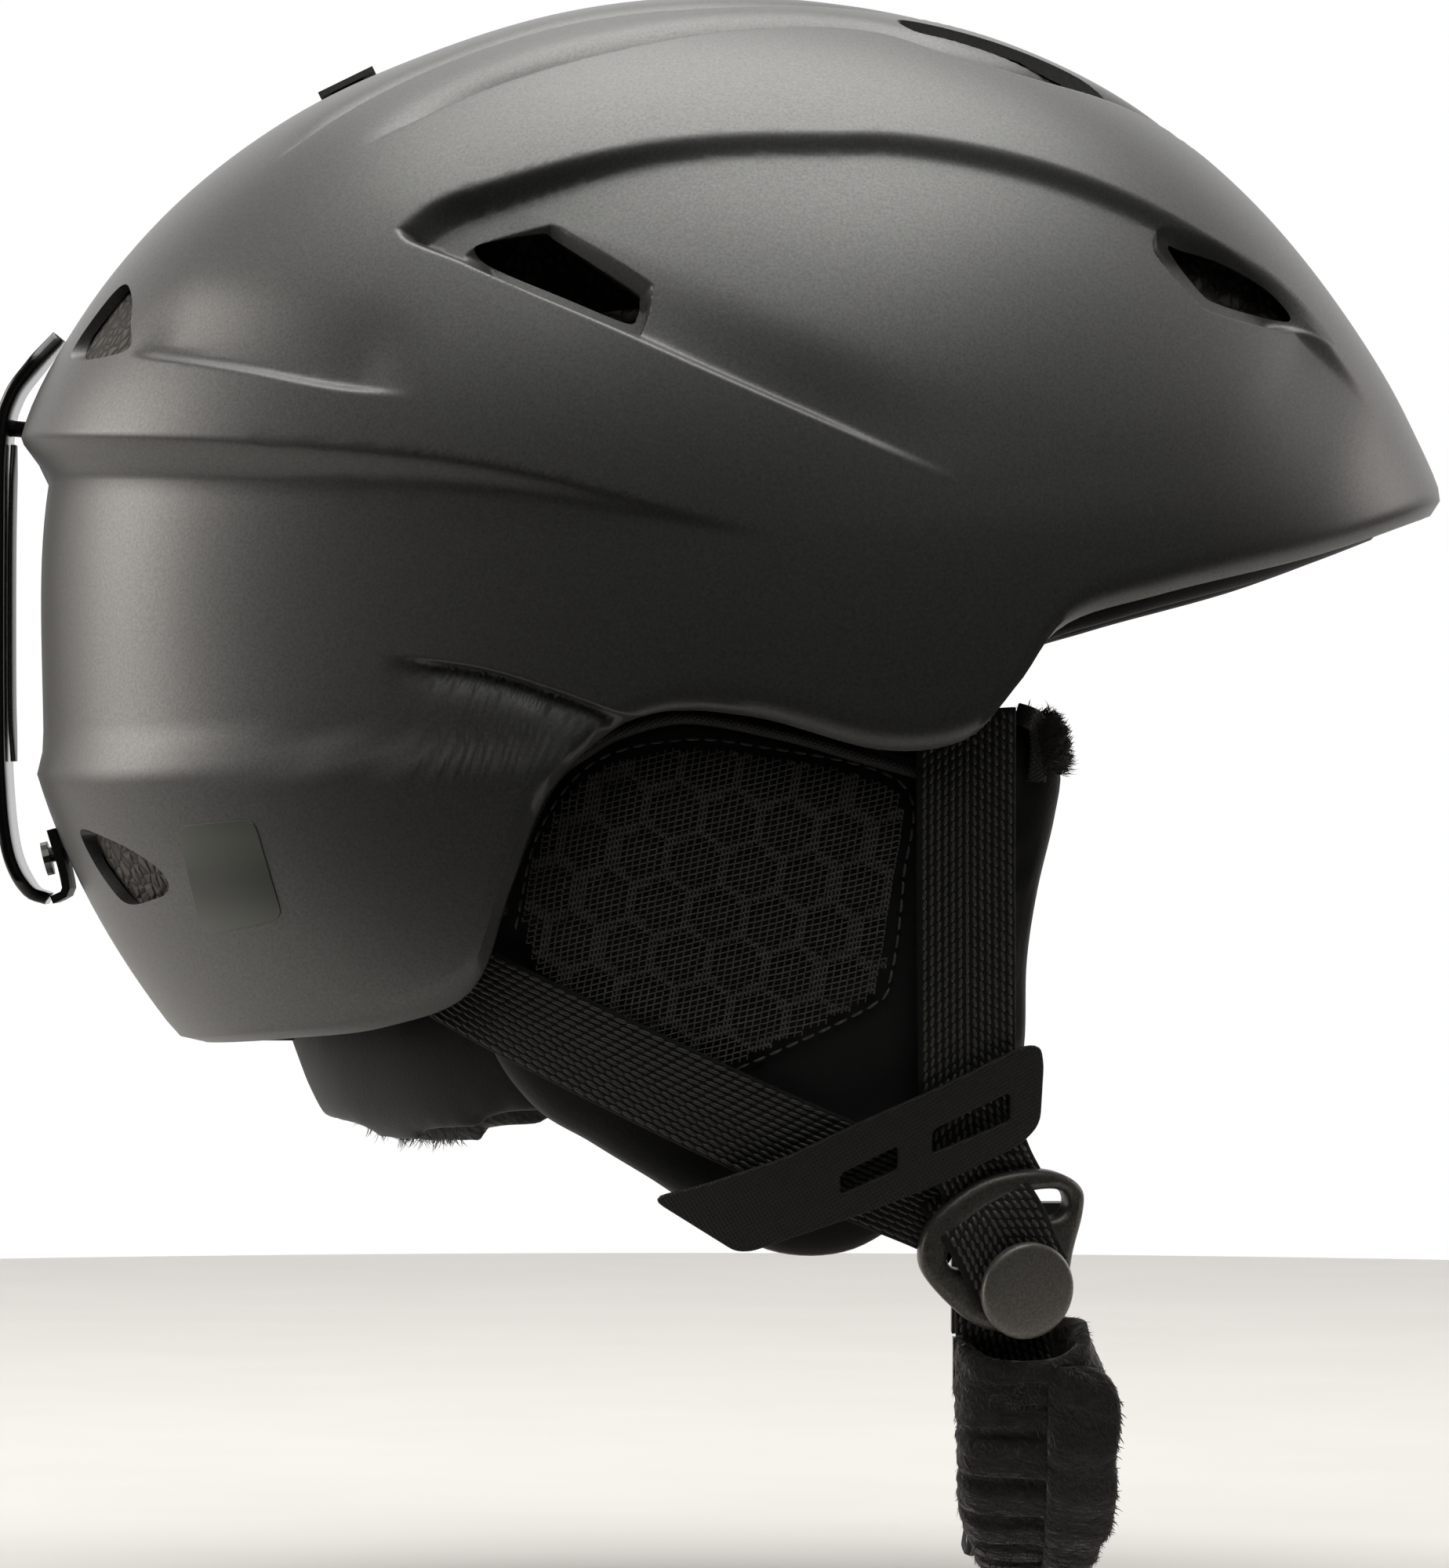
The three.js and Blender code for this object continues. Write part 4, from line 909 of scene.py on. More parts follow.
def outer_shell():
    """Painted shell with its relief, rolled rim and vents."""
    up = np.array([0.0, 0.0, 1.0])
    crown = CENTRE + up * shell_radius(up[None])[0]
    outside = [CENTRE + ring * shell_radius(ring)[:, None] for ring in RINGS]
    lip = [on_shell(RINGS[0], RING_HEIGHTS[0] - 0.5, inset, WIDE_RELIEF[0]) - up * LIP_DROP
           for inset in (LIP_DROP, WALL - 0.3)]
    rows = [0, 1, 2, *range(3, SHELL_ROWS, 4)]
    inner = [on_shell(RINGS[r], RING_HEIGHTS[r], WALL, WIDE_RELIEF[r]) for r in rows]
    points, faces = closed_bowl(outside, [*lip, *inner], crown, crown - up * WALL)
    work = bmesh.new()
    height = work.verts.layers.float.new("height")
    outer = work.verts.layers.float.new("outer")
    heights = np.concatenate([*RING_HEIGHTS, [999]])
    for number, place in enumerate(points):
        vertex = work.verts.new(place)
        vertex[outer] = 1.0 if number < len(heights) else 0.0
        vertex[height] = heights[number] if number < len(heights) else 0.0
    work.verts.ensure_lookup_table()
    for face in faces:
        work.faces.new([work.verts[i] for i in face])
    for gap_limit in (5.0, 2.2, 1.0):
        refine(work, outer, gap_limit)
    moved = [v for v in work.verts if v[outer] > 0.99]
    ways = unit(np.array([v.co for v in moved]) - CENTRE)
    for vertex, place in zip(moved, on_shell(ways, np.array([v[height] for v in moved]))):
        vertex.co = place
    mesh = bpy.data.meshes.new("outer shell")
    work.to_mesh(mesh)
    work.free()
    mesh.transform(Matrix.Scale(MM, 4))
    shell = cut(as_object("painted_shell", mesh, "paint"), vent_cutters() + [slider_slot()])
    placed(as_object("painted_shell", shell, "paint", 48), "shell", "outer_shell")


def prism_between(outline, plane, low, high):
    """Cutter: an outline in the plane of two axes, carried between two places on the third."""
    third = ({0, 1, 2} - set(plane)).pop()
    points = np.zeros((2, len(outline), 3))
    points[:, :, plane[0]], points[:, :, plane[1]] = outline[:, 0], outline[:, 1]
    points[0, :, third], points[1, :, third] = low, high
    return points.reshape(-1, 3), tube_faces(2, len(outline))


def vent_cutters():
    """Prisms through the shell for every vent, on both sides."""
    made = []
    for sign in (-1, 1):
        spans = [
            (SIDE_VENT, (0, 2), 60 * sign, 115 * sign), (FRONT_VENT, (0, 2), 25 * sign, 95 * sign),
            (FRONT_TOP_VENT, (0, 1), 70, 130), (CROWN_VENT, (0, 1), 90, 135),
            (REAR_VENT, (1, 2), -130, -80), (NAPE_VENT, (1, 2), -130, -84),
        ]
        for outline, plane, low, high in spans:
            line = spline(outline, 0.8, closed=True)
            if 1 in plane:
                line = line * ([1, sign] if plane == (0, 1) else [sign, 1])
            points, faces = prism_between(line, plane, low, high)
            made.append(put_in_scene("vent cutter", points, faces, "paint", flip_out=True))
    return made


SLIDER_WAY = np.array([math.cos(math.radians(128)), 0.0, math.sin(math.radians(128))])
SLIDE_SLOPE = math.radians(26)


def slider_slot():
    """Cutter of the slot that the vent slider's neck runs in."""
    at = CENTRE + SLIDER_WAY * shell_radius(SLIDER_WAY[None])[0]
    along = np.array([math.cos(SLIDE_SLOPE), 0, math.sin(SLIDE_SLOPE)])
    out = np.array([-math.sin(SLIDE_SLOPE), 0, math.cos(SLIDE_SLOPE)])
    outline = rounded([(-12, -2.5), (12, -2.5), (12, 2.5), (-12, 2.5)], 2.4)
    points = np.vstack([at + along * u + np.array([0, v, 0]) + out * w
                        for w in (-9, 9) for u, v in outline])
    return put_in_scene("slot cutter", points, tube_faces(2, len(outline)), "paint", flip_out=True)


def cut(target, cutters):
    """Mesh of an object with other closed objects cut out of it."""
    for cutter in cutters:
        modifier = target.modifiers.new("cut", "BOOLEAN")
        modifier.operation = "DIFFERENCE"
        modifier.solver = "MANIFOLD"
        modifier.object = cutter
    mesh = settled(target)
    for cutter in cutters:
        bpy.data.objects.remove(cutter)
    return mesh


def cavity_radius(ways):
    """Distance from CENTRE to the wall of the head cavity along unit directions."""
    near, far = np.zeros(len(ways)), np.full(len(ways), 250.0)
    for _ in range(40):
        r = (near + far) / 2
        p = CENTRE + ways * r[:, None] - [CAVITY["x"], 0, CAVITY["z"]]
        tall = np.where(p[:, 2] > 0, CAVITY["up"], CAVITY["down"])
        share = (np.abs(p[:, 0] / CAVITY["length"])**CAVITY["power"]
                 + np.abs(p[:, 1] / CAVITY["width"])**CAVITY["power"]
                 + np.abs(p[:, 2] / tall)**CAVITY["power"])
        far, near = np.where(share > 1, r, far), np.where(share > 1, near, r)
    return near


def foam_liner():
    """Foam liner between the shell and the head cavity, with pockets for the fittings and blind vents."""
    rows = [1] + list(range(2, SHELL_ROWS, 3))
    up = np.array([[0.0, 0.0, 1.0]])
    outside = [on_shell(RINGS[r], RING_HEIGHTS[r], WALL + AIR, WIDE_RELIEF[r]) for r in rows]
    inner = [CENTRE + RINGS[r] * cavity_radius(RINGS[r])[:, None] for r in rows]
    top_out = CENTRE + up[0] * (shell_radius(up)[0] - WALL - AIR)
    top_in = CENTRE + up[0] * cavity_radius(up)[0]
    points, faces = closed_bowl(outside, inner, top_out, top_in)
    liner = put_in_scene("foam_liner", points, faces, "foam")
    pockets = [block((-120, -26, -100), (-60, 26, -57)), block((-90, -13, 80), (-40, 13, 112))]
    for sign in (-1, 1):
        pockets += [block((47, 84 * sign, -40), (69, 112 * sign, -5)),
                    block((-66, 60 * sign, -95), (-20, 112 * sign, -54))]
    for sign in (-1, 1):
        for outline, low, high in ((SIDE_VENT, 73, 115), (FRONT_VENT, 57, 95)):
            points, faces = prism_between(spline(outline, 1.5, closed=True), (0, 2), low * sign, high * sign)
            pockets.append(put_in_scene("vent", points, faces, "foam", flip_out=True))
    made = as_object("foam_liner", cut(liner, pockets), "foam", 50)
    placed(made, "foam", "eps_liner")


def block(low, high):
    """Plain box, used only to cut with."""
    low, high = np.minimum(low, high), np.maximum(low, high)
    outline = np.array([(low[0], low[1]), (high[0], low[1]), (high[0], high[1]), (low[0], high[1])])
    points, faces = prism_between(outline, (0, 1), low[2], high[2])
    return put_in_scene("pocket", points, faces, "foam", flip_out=True)

# ---------------------------------------------------------------- soft pads

PAD_VOXEL = 4.0


def swollen(mesh, cap_mm, frames=20, pressure=4.0):
    """The mesh after a short cloth simulation under pressure, with each point's travel capped."""
    scene = bpy.context.scene
    work = bpy.data.objects.new("simulated pad", mesh)
    scene.collection.objects.link(work)
    cloth = work.modifiers.new("cloth", "CLOTH").settings
    cloth.quality = 4
    cloth.use_pressure = True
    cloth.uniform_pressure_force = pressure
    cloth.effector_weights.gravity = 0
    start = np.array([v.co for v in mesh.vertices])
    for number in range(1, frames + 1):
        scene.frame_set(number)
    seen = work.evaluated_get(bpy.context.evaluated_depsgraph_get()).data
    travel = np.array([v.co for v in seen.vertices]) - start
    length = np.linalg.norm(travel, axis=1, keepdims=True)
    start += travel * np.minimum(1, cap_mm * MM / np.maximum(length, 1e-9))
    scene.frame_set(1)
    bpy.data.objects.remove(work)
    mesh.vertices.foreach_set("co", start.ravel())
    mesh.update()
    return mesh


def padded_from(name, source, finish, cap_mm, shrink_mm):
    """Soft pad from a closed mesh: remeshed, swollen as cloth, then subdivided once."""
    work = bpy.data.objects.new(name, source)
    bpy.context.scene.collection.objects.link(work)
    remesh = work.modifiers.new("even", "REMESH")
    remesh.mode = "VOXEL"
    remesh.voxel_size = PAD_VOXEL * MM
    relax = work.modifiers.new("relax", "SMOOTH")
    relax.iterations = 4
    mesh = settled(work)
    normals = np.array([v.normal for v in mesh.vertices])
    start = np.array([v.co for v in mesh.vertices]) - normals * shrink_mm * MM
    mesh.vertices.foreach_set("co", start.ravel())
    mesh.update()
    mesh = swollen(mesh, cap_mm)
    return subdivided(name, mesh, finish)


def subdivided(name, mesh, finish):
    """Object of a mesh subdivided once, smooth all over."""
    work = bpy.data.objects.new(name, mesh)
    bpy.context.scene.collection.objects.link(work)
    finer = work.modifiers.new("finer", "SUBSURF")
    finer.levels = finer.render_levels = 1
    return as_object(name, settled(work), finish, 180)


def copied_mesh(*nodes):
    """One welded mesh from CAD nodes, which stay as they are."""
    work = bmesh.new()
    for node in nodes:
        work.from_mesh(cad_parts[node].data)
    bmesh.ops.remove_doubles(work, verts=work.verts, dist=1e-5)
    mesh = bpy.data.meshes.new("copy")
    work.to_mesh(mesh)
    work.free()
    return mesh


def comfort_pads():
    """Pads on the wall of the head cavity and on the cradle, from their CAD solids."""
    caps = {"brow_pad": 2.0, "crown_pad": 3.0, "side_pad_left": 3.0, "side_pad_right": 3.0, "cradle_pad": 1.5}
    for node, cap in caps.items():
        piece = padded_from(node + "_cushion", copied_mesh(node), "fleece", cap, 0.8)
        placed(piece, "fleece", node)


# ---------------------------------------------------------------- webbing

def float_shape(length, width, height):
    """One yarn float: a low rounded lens, long on X, on the face of a strap."""
    points = []
    for t in (-1, -0.55, 0.55, 1):
        reach = math.sqrt(max(0.06, 1 - t * t * 0.94))
        for turn in np.linspace(0, math.pi, 4):
            points.append((t * length / 2, -math.cos(turn) * width / 2 * reach,
                           math.sin(turn) * height * reach - 0.12))
    return np.array(points), grid_faces(4, 4)


CHEVRON = dict(pitch=1.42, step=1.95, float_length=2.1, float_width=1.0, tilt=14)
TWILL = dict(pitch=1.15, step=2.6, float_length=2.8, float_width=0.95, tilt=6)


def woven_band(name, centre, across, out, width, thick, weave, finish, faces=(1,)):
    """Strap: a solid ground with rows of yarn floats on its faces, as one object."""
    points, quads, uv = swept(centre, across, out, flat_section(width, thick))
    ground = put_in_scene(name, points, quads, "ground", 50, flip_out=True, uv=uv)
    run = run_along(centre)
    columns = int((width - 0.8) / weave["pitch"])
    rows = int(run[-1] / weave["step"])
    u, row = np.meshgrid((np.arange(columns) - (columns - 1) / 2) * weave["pitch"], np.arange(rows))
    u, row = u.ravel(), row.ravel()
    at = (row + 0.5) * weave["step"] + np.abs(u) * 0.55 % weave["step"]
    if weave is TWILL:
        at = (row + 0.5) * weave["step"] + (np.round(u / weave["pitch"]) % 3) * weave["step"] / 3
    keep = at < run[-1] - 0.8
    u, at = u[keep], at[keep]
    pick = lambda field: np.stack([np.interp(at, run, field[:, k]) for k in range(3)], axis=1)
    tangent = unit(np.gradient(centre, axis=0))
    lean = math.radians(weave["tilt"]) * np.sign(u)[:, None]
    shape = float_shape(weave["float_length"], weave["float_width"], 0.42)
    for face in faces:
        place = pick(centre) + pick(across) * u[:, None] + pick(out) * face * (thick / 2)
        way = pick(tangent) * np.cos(lean) + pick(across) * np.sin(lean)
        yarns = laid_out(name + "_yarn", (place, way, pick(out) * face), shape, finish, spread=0.06, seed=3)
        ground = join_into(ground, yarns)
    return ground


# ---------------------------------------------------------------- ear sides

def ear_slopes(x, z):
    """Slopes of the ear side's sheet along x and z, and its bend, at places in side view."""
    bend = np.where(x < EAR["x"], EAR["back"], EAR["front"])
    return -2 * bend * (x - EAR["x"]), np.where(z < EAR["top"], EAR["lean"], 0.0), bend


def on_ear(x, z, out, side):
    """Places on the ear side's sheet, out millimetres off it, and the sheet's outward direction."""
    x, z, out = np.broadcast_arrays(np.asarray(x, float), np.asarray(z, float), np.asarray(out, float))
    slope_x, slope_z, bend = ear_slopes(x, z)
    y = EAR["y"] - bend * (x - EAR["x"])**2 - EAR["lean"] * np.maximum(0, EAR["top"] - z)
    normal = unit(np.stack([-slope_x, np.ones_like(x), -slope_z], axis=-1))
    place = np.stack([x, y, z], axis=-1) + normal * out[..., None]
    flip = np.array([1, side, 1])
    return place * flip, normal * flip


def ear_plate(name, outline, holes, low, high, edge, finish, side, crease=35):
    """Plate of an outline in side view with rounded edges, laid on the ear side's sheet."""
    data = bpy.data.curves.new(name, "CURVE")
    data.dimensions = "2D"
    data.fill_mode = "BOTH"
    data.extrude = (high - low) / 2 - edge
    data.bevel_depth, data.bevel_resolution, data.offset = edge, 2, -edge
    for loop in (outline, *holes):
        line = data.splines.new("POLY")
        line.points.add(len(loop) - 1)
        line.points.foreach_set("co", np.array([(x, z, 0, 1) for x, z in loop], float).ravel())
        line.use_cyclic_u = True
    flat = bpy.data.objects.new(name, data)
    bpy.context.scene.collection.objects.link(flat)
    mesh = settled(flat)
    work = bmesh.new()
    work.from_mesh(mesh)
    bmesh.ops.remove_doubles(work, verts=work.verts, dist=0.001)
    for x in np.arange(outline[:, 0].min() + 3, outline[:, 0].max(), 3.0):
        whole = list(work.verts) + list(work.edges) + list(work.faces)
        bmesh.ops.bisect_plane(work, geom=whole, plane_co=(x, 0, 0), plane_no=(1, 0, 0))
    co = np.array([v.co for v in work.verts])
    placed_at, _ = on_ear(co[:, 0], co[:, 1], (low + high) / 2 + co[:, 2], side)
    for vertex, place in zip(work.verts, placed_at * MM):
        vertex.co = place
    bmesh.ops.recalc_face_normals(work, faces=work.faces)
    work.to_mesh(mesh)
    work.free()
    return as_object(name, mesh, finish, crease)


EAR_PAD = [
    [73, -27], [77.6, -34], [76.6, -44], [73.4, -58], [71.4, -72], [71, -88], [68.6, -102], [58, -114],
    [47, -122], [36.2, -127.7], [24.3, -128.5], [13.9, -125], [-2.4, -114.7], [-15, -107], [-27, -100],
    [-36, -86], [-37, -64], [-32, -47], [-21, -37.5], [-12.5, -28.5], [-4, -24.4], [5, -22.8],
    [17, -24.6], [31.6, -28.3], [42, -30.5], [50, -31], [59.5, -29], [68, -24.4],
]
EAR_MESH = [
    [-26, -62], [-21.5, -46], [-12.5, -35.5], [0.6, -31.2], [17, -32], [43, -38.6], [43, -55],
    [40.8, -74], [37, -78.6], [12, -90.5], [7, -91], [-20, -76],
]
EAR_MIDDLE = np.array([25.0, -76.0])
EAR_PAD_BODY = dict(thick=9.5, low=-10.5, edge=5.5, swell=0.6)
EAR_LINING_BODY = dict(thick=6.5, low=-16.5, edge=4.0, swell=1.2)
LINING_GROWTH = 1.015
LINING_SHIFT = [0.6, 0.4]
STRAP_THICK = 1.3
FRONT_BAND = dict(
    route=[[56.2, -23], [56.5, -60], [57.2, -100], [60, -110], [64.5, -118]],
    out=[3.6, 3.0, 3.0, 3.0, 1.4], width=19.8, weave=CHEVRON, finish="yarn")
REAR_BAND = dict(
    route=[[-60, -62], [-38, -75.5], [0, -94.5], [30, -108.5], [50, -117], [58, -121]],
    out=[0.4, 1.6, 1.7, 1.7, 1.4, 0.6], width=18.2, weave=TWILL, finish="dark yarn")
ADJUSTER_BAND = dict(
    route=[(56.8, -112.5), (58.4, -116), (60.2, -119.5), (62, -123), (64, -127.5), (66.2, -132)],
    out=[1.2, 3.4, 6.6, 7.1, 6.9, 6.6], width=20.4, weave=CHEVRON, finish="yarn")
DIVIDER = [
    [-1.7, -115.3], [8, -112.7], [22.9, -107.5], [37.8, -100.1], [52.7, -93.4], [66.2, -86.6],
    [69.6, -86.4], [70.2, -90], [69.6, -101.5], [66.1, -105.3], [52.7, -112], [37.8, -118],
    [16.9, -125.4], [13.9, -125.4],
]
DIVIDER_BODY = dict(low=4.5, high=5.9, edge=0.35)
DIVIDER_SLOTS = [
    [[33, -110.5], [43.4, -105.3], [43.4, -109.8], [33, -114.5]],
    [[49.7, -102.3], [63.9, -95.3], [63.9, -100.8], [49.7, -106.8]],
]
ADJUSTER = [
    [47.7, -126.5], [49, -121.2], [52.7, -116.7], [58.7, -112.5], [64.7, -110.8], [70.7, -110.6],
    [75.1, -111.8], [78, -114.5], [78, -119], [76.3, -126], [73.9, -137], [67.4, -141.5], [59.4, -140.7],
    [54.2, -137], [49, -131],
]
ADJUSTER_BODY = dict(low=0.8, high=6.0, edge=1.6)
ADJUSTER_SLOT = [
    [52.7, -127.4], [55.4, -121.6], [61.4, -117], [67.9, -114.6], [73.6, -114.4], [75.2, -117],
    [73.4, -119.6], [67.4, -121], [60.4, -125], [55.8, -129.3],
]
DISC = dict(x=65.8, z=-132.6, radius=9.3)


def ear_pad_shape(outline, thick, low, edge, swell):
    """Rings from a pad's edge to its middle: flat places, their height off the sheet, front and back."""
    rim = spline(outline, 2.2, closed=True)
    shares = 1 - np.linspace(0, 1, 16)**1.5 * 0.97
    reach = np.linalg.norm(rim - EAR_MIDDLE, axis=1)
    flats, fronts, backs = [], [], []
    for share in shares:
        inwards = (1 - share) * reach
        round_edge = np.sqrt(np.maximum(0, 1 - (1 - np.clip(inwards / edge, 0, 1))**2))
        belly = swell * smooth(inwards / 26)
        flats.append(EAR_MIDDLE + (rim - EAR_MIDDLE) * share)
        fronts.append(low + thick / 2 + (thick / 2 + belly) * round_edge)
        backs.append(low + thick / 2 - (thick / 2 + belly) * round_edge)
    return np.array(flats), np.array(fronts), np.array(backs)


def ear_cushion(name, outline, thick, low, edge, swell, side, dents=None):
    """Mesh of a closed pad on the ear side's sheet; dents(x, z) is how far its front is pulled in."""
    flats, fronts, backs = ear_pad_shape(outline, thick, low, edge, swell)
    if dents is not None:
        pull = dents(flats[..., 0], flats[..., 1])
        fronts = fronts - pull * (np.arange(len(flats)) > 0)[:, None]
    front, _ = on_ear(flats[..., 0], flats[..., 1], fronts, side)
    back, _ = on_ear(flats[1:, :, 0], flats[1:, :, 1], backs[1:], side)
    rows, columns = front.shape[:2]
    points = np.vstack([front.reshape(-1, 3), back.reshape(-1, 3)])
    faces = grid_faces(rows, columns, closed_columns=True)
    faces.append(tuple(range((rows - 1) * columns, rows * columns)))
    start = rows * columns
    faces += [tuple(reversed(f)) for f in grid_faces(rows - 1, columns, closed_columns=True, start=start)]
    faces.append(tuple(reversed(range(start + (rows - 2) * columns, start + (rows - 1) * columns))))
    faces += [((c + 1) % columns, c, start + c, start + (c + 1) % columns) for c in range(columns)]
    return closed_mesh(name, points, faces)


def crease_line(points, width, depth):
    """Pull-in along a line in side view, for a sewn seam or a fold."""
    line = spline(points, 0.8)

    def pull(x, z):
        _, gap = nearest(np.stack([x.ravel(), z.ravel()], axis=1), line)
        return (depth * np.exp(-(gap / width)**2)).reshape(x.shape)
    return pull


def ear_dents(x, z):
    """Seam of the mesh window, the front binding and the soft folds by the front edge."""
    seam = crease_line([*EAR_MESH, EAR_MESH[0]], 1.6, 1.3)(x, z)
    folds = crease_line([(67.5, -36), (68.5, -60), (67.2, -86)], 1.1, 1.0)(x, z)
    sag = 0.9 * np.exp(-((z + 108) / 9)**2) * np.sin(x / 7.5)
    return seam + folds + sag * smooth((60 - x) / 20)


MESH_CELL = 10.5
MESH_PITCH = (1.35, 1.15)
MESH_SLOPE = math.radians(-9)
MESH_THREAD = {"open": 0.24, "dense": 0.4}


def net_places(side):
    """Crossings of the spacer mesh over its window: points, directions, outward, and a dense flag."""
    (pitch_u, pitch_v), slope = MESH_PITCH, MESH_SLOPE
    u, v = np.meshgrid(np.arange(-60, 60) * pitch_u, np.arange(-60, 60) * pitch_v)
    v = v + (np.round(u / pitch_u) % 2) * pitch_v * 0.5
    x = 10 + u * math.cos(slope) - v * math.sin(slope)
    z = -62 + u * math.sin(slope) + v * math.cos(slope)
    x, z, u, v = x.ravel(), z.ravel(), u.ravel(), v.ravel()
    held = inside(spline(EAR_MESH, 1.0, closed=True), x, z)
    x, z, u, v = x[held], z[held], u[held], v[held]
    cell_u, cell_v = np.array([(i * MESH_CELL + (j % 2) * MESH_CELL / 2, j * MESH_CELL * 0.866)
                               for i in range(-12, 13) for j in range(-12, 13)]).T
    away = np.sort(np.hypot(u[:, None] - cell_u, v[:, None] - cell_v), axis=1)
    edge = (away[:, 1]**2 - away[:, 0]**2) / (2 * MESH_CELL)
    dense = edge < 0.85
    puff = 0.9 * smooth(edge / 4)
    place, normal = on_ear(x, z, 0.7 + puff, side)
    way = np.tile(np.array([math.cos(slope), 0, math.sin(slope)]), (len(place), 1))
    return place, way, normal, dense


def net_knot(width, height, thread, extra):
    """One stitch of the mesh: a slanting bar and two legs, as thin three-sided threads."""
    ends = [((-width / 2, -height * 0.25), (width / 2, height * 0.25)),
            ((-width / 2, -height * 0.25), (-width / 2, height * 0.5)),
            ((width / 2, height * 0.25), (width / 2, -height * 0.5))]
    if extra:
        ends += [((0.0, -height * 0.5), (0.0, height * 0.5))]
    points, faces = [], []
    for (x0, y0), (x1, y1) in ends:
        way = unit(np.array([x1 - x0, y1 - y0, 0.0]))
        side = np.array([-way[1], way[0], 0.0]) * thread / 2
        start = len(points)
        for x, y in ((x0, y0), (x1, y1)):
            middle = np.array([x, y, 0.0])
            points += [middle - side, middle + [0, 0, thread * 0.7], middle + side]
        faces += [(start, start + 1, start + 4, start + 3), (start + 1, start + 2, start + 5, start + 4)]
    return np.array(points), faces


def spacer_mesh(side, name):
    """Window of honeycomb spacer mesh over dark foam."""
    place, way, normal, dense = net_places(side)
    for kind, pick in (("open", ~dense), ("dense", dense)):
        shape = net_knot(*MESH_PITCH, MESH_THREAD[kind], kind == "dense")
        places = (place[pick], way[pick], normal[pick])
        part = laid_out(f"mesh_{kind}_{name}", places, shape, "thread", spread=0.05)
        placed(part, "mesh", *([f"ear_mesh_{name}"] if kind == "open" else []))


def stitch_places(points, pitch, out, side):
    """Places of stitches along a seam in side view: points, directions and outward."""
    line = spline(points, pitch)
    place, normal = on_ear(line[:, 0], line[:, 1], out, side)
    return place, np.gradient(place, axis=0), normal


def stitch_shape(length, width):
    """One stitch: a short thread, bowed, that dives in at both ends."""
    section = ring_section(width, width * 0.8, 6)
    x = np.array([-0.5, -0.35, 0, 0.35, 0.5]) * length
    size = np.array([0.3, 0.85, 1, 0.85, 0.3])
    rise = np.array([-0.5, 0.1, 0.3, 0.1, -0.5]) * width
    points = np.stack([np.stack([np.full(6, a), section[:, 0] * s, section[:, 1] * s + r], axis=1)
                       for a, s, r in zip(x, size, rise)])
    return points.reshape(-1, 3), grid_faces(5, 6, closed_columns=True)


PIPING = [(-31, -62), (-29.5, -55), (-21.8, -37.5), (-14, -30.5), (-6.8, -26.8), (5, -24.4), (22.8, -27.6),
          (36, -31.4), (49, -35)]
WINDOW_SEAM = [(-28, -64), (-23.8, -47), (-14, -34), (0.6, -29.4), (17, -30.2), (45, -37.4), (45.4, -56),
               (42.8, -75), (38, -80.4), (12, -92.6)]


def ear_side(name, side):
    """All that hangs at one ear: pad, lining, mesh, piping, straps and divider."""
    pad = ear_cushion("pad", EAR_PAD, side=side, dents=ear_dents, **EAR_PAD_BODY)
    pad = as_object(f"ear_pad_{name}_cover", pad, "softshell", 180)
    placed(pad, "softshell", f"ear_pad_{name}")
    wider = EAR_MIDDLE + (np.array(EAR_PAD) - EAR_MIDDLE) * LINING_GROWTH + LINING_SHIFT
    lining = ear_cushion("lining", wider.tolist(), side=side, **EAR_LINING_BODY)
    lining = padded_from(f"ear_lining_{name}_cushion", lining, "fleece", 2.0, 0.6)
    placed(lining, "fleece", f"ear_lining_{name}")
    spacer_mesh(side, name)
    line = spline(PIPING, 1.2)
    centre, normal = on_ear(line[:, 0], line[:, 1], 0.9, side)
    across = np.cross(normal, unit(np.gradient(centre, axis=0)))
    points, faces, uv = swept(centre, across, normal, ring_section(3.4, 3.0, 14))
    tape = put_in_scene(f"piping_{name}", points, faces, "ribs", 50, flip_out=True, uv=uv)
    placed(tape, "webbing")
    places = stitch_places(WINDOW_SEAM, 3.4, 0.1, side)
    stitches = laid_out(f"window_stitches_{name}", places, stitch_shape(2.6, 0.55), "thread")
    placed(stitches, "softshell")
    straps(name, side)


def ear_band(name, side, route, out, width, weave, finish):
    """Woven band along a route in side view, each point so far off the ear side's sheet."""
    line = spline([(x, z, o) for (x, z), o in zip(route, out)], 1.6)
    centre, normal = on_ear(line[:, 0], line[:, 1], line[:, 2], side)
    across = unit(np.cross(normal, np.gradient(centre, axis=0)))
    normal = unit(np.cross(np.gradient(centre, axis=0), across))
    return woven_band(name, centre, across, normal, width, STRAP_THICK, weave, finish)


def straps(name, side):
    """Front and rear strap of one side, with the ribbed divider they pass through."""
    front = ear_band(f"front_strap_{name}_web", side, **FRONT_BAND)
    placed(front, "webbing", f"front_strap_{name}", f"front_strap_anchor_{name}")
    rear = ear_band(f"rear_strap_{name}_web", side, **REAR_BAND)
    placed(rear, "webbing", f"rear_strap_{name}", f"rear_strap_anchor_{name}")
    slots = [rounded(s, 1.0) for s in DIVIDER_SLOTS]
    outline = rounded(DIVIDER, 3.0)
    divider = ear_plate(f"divider_{name}", outline, slots, finish="ribs", side=side, **DIVIDER_BODY)
    placed(divider, "rubber", f"strap_divider_{name}")


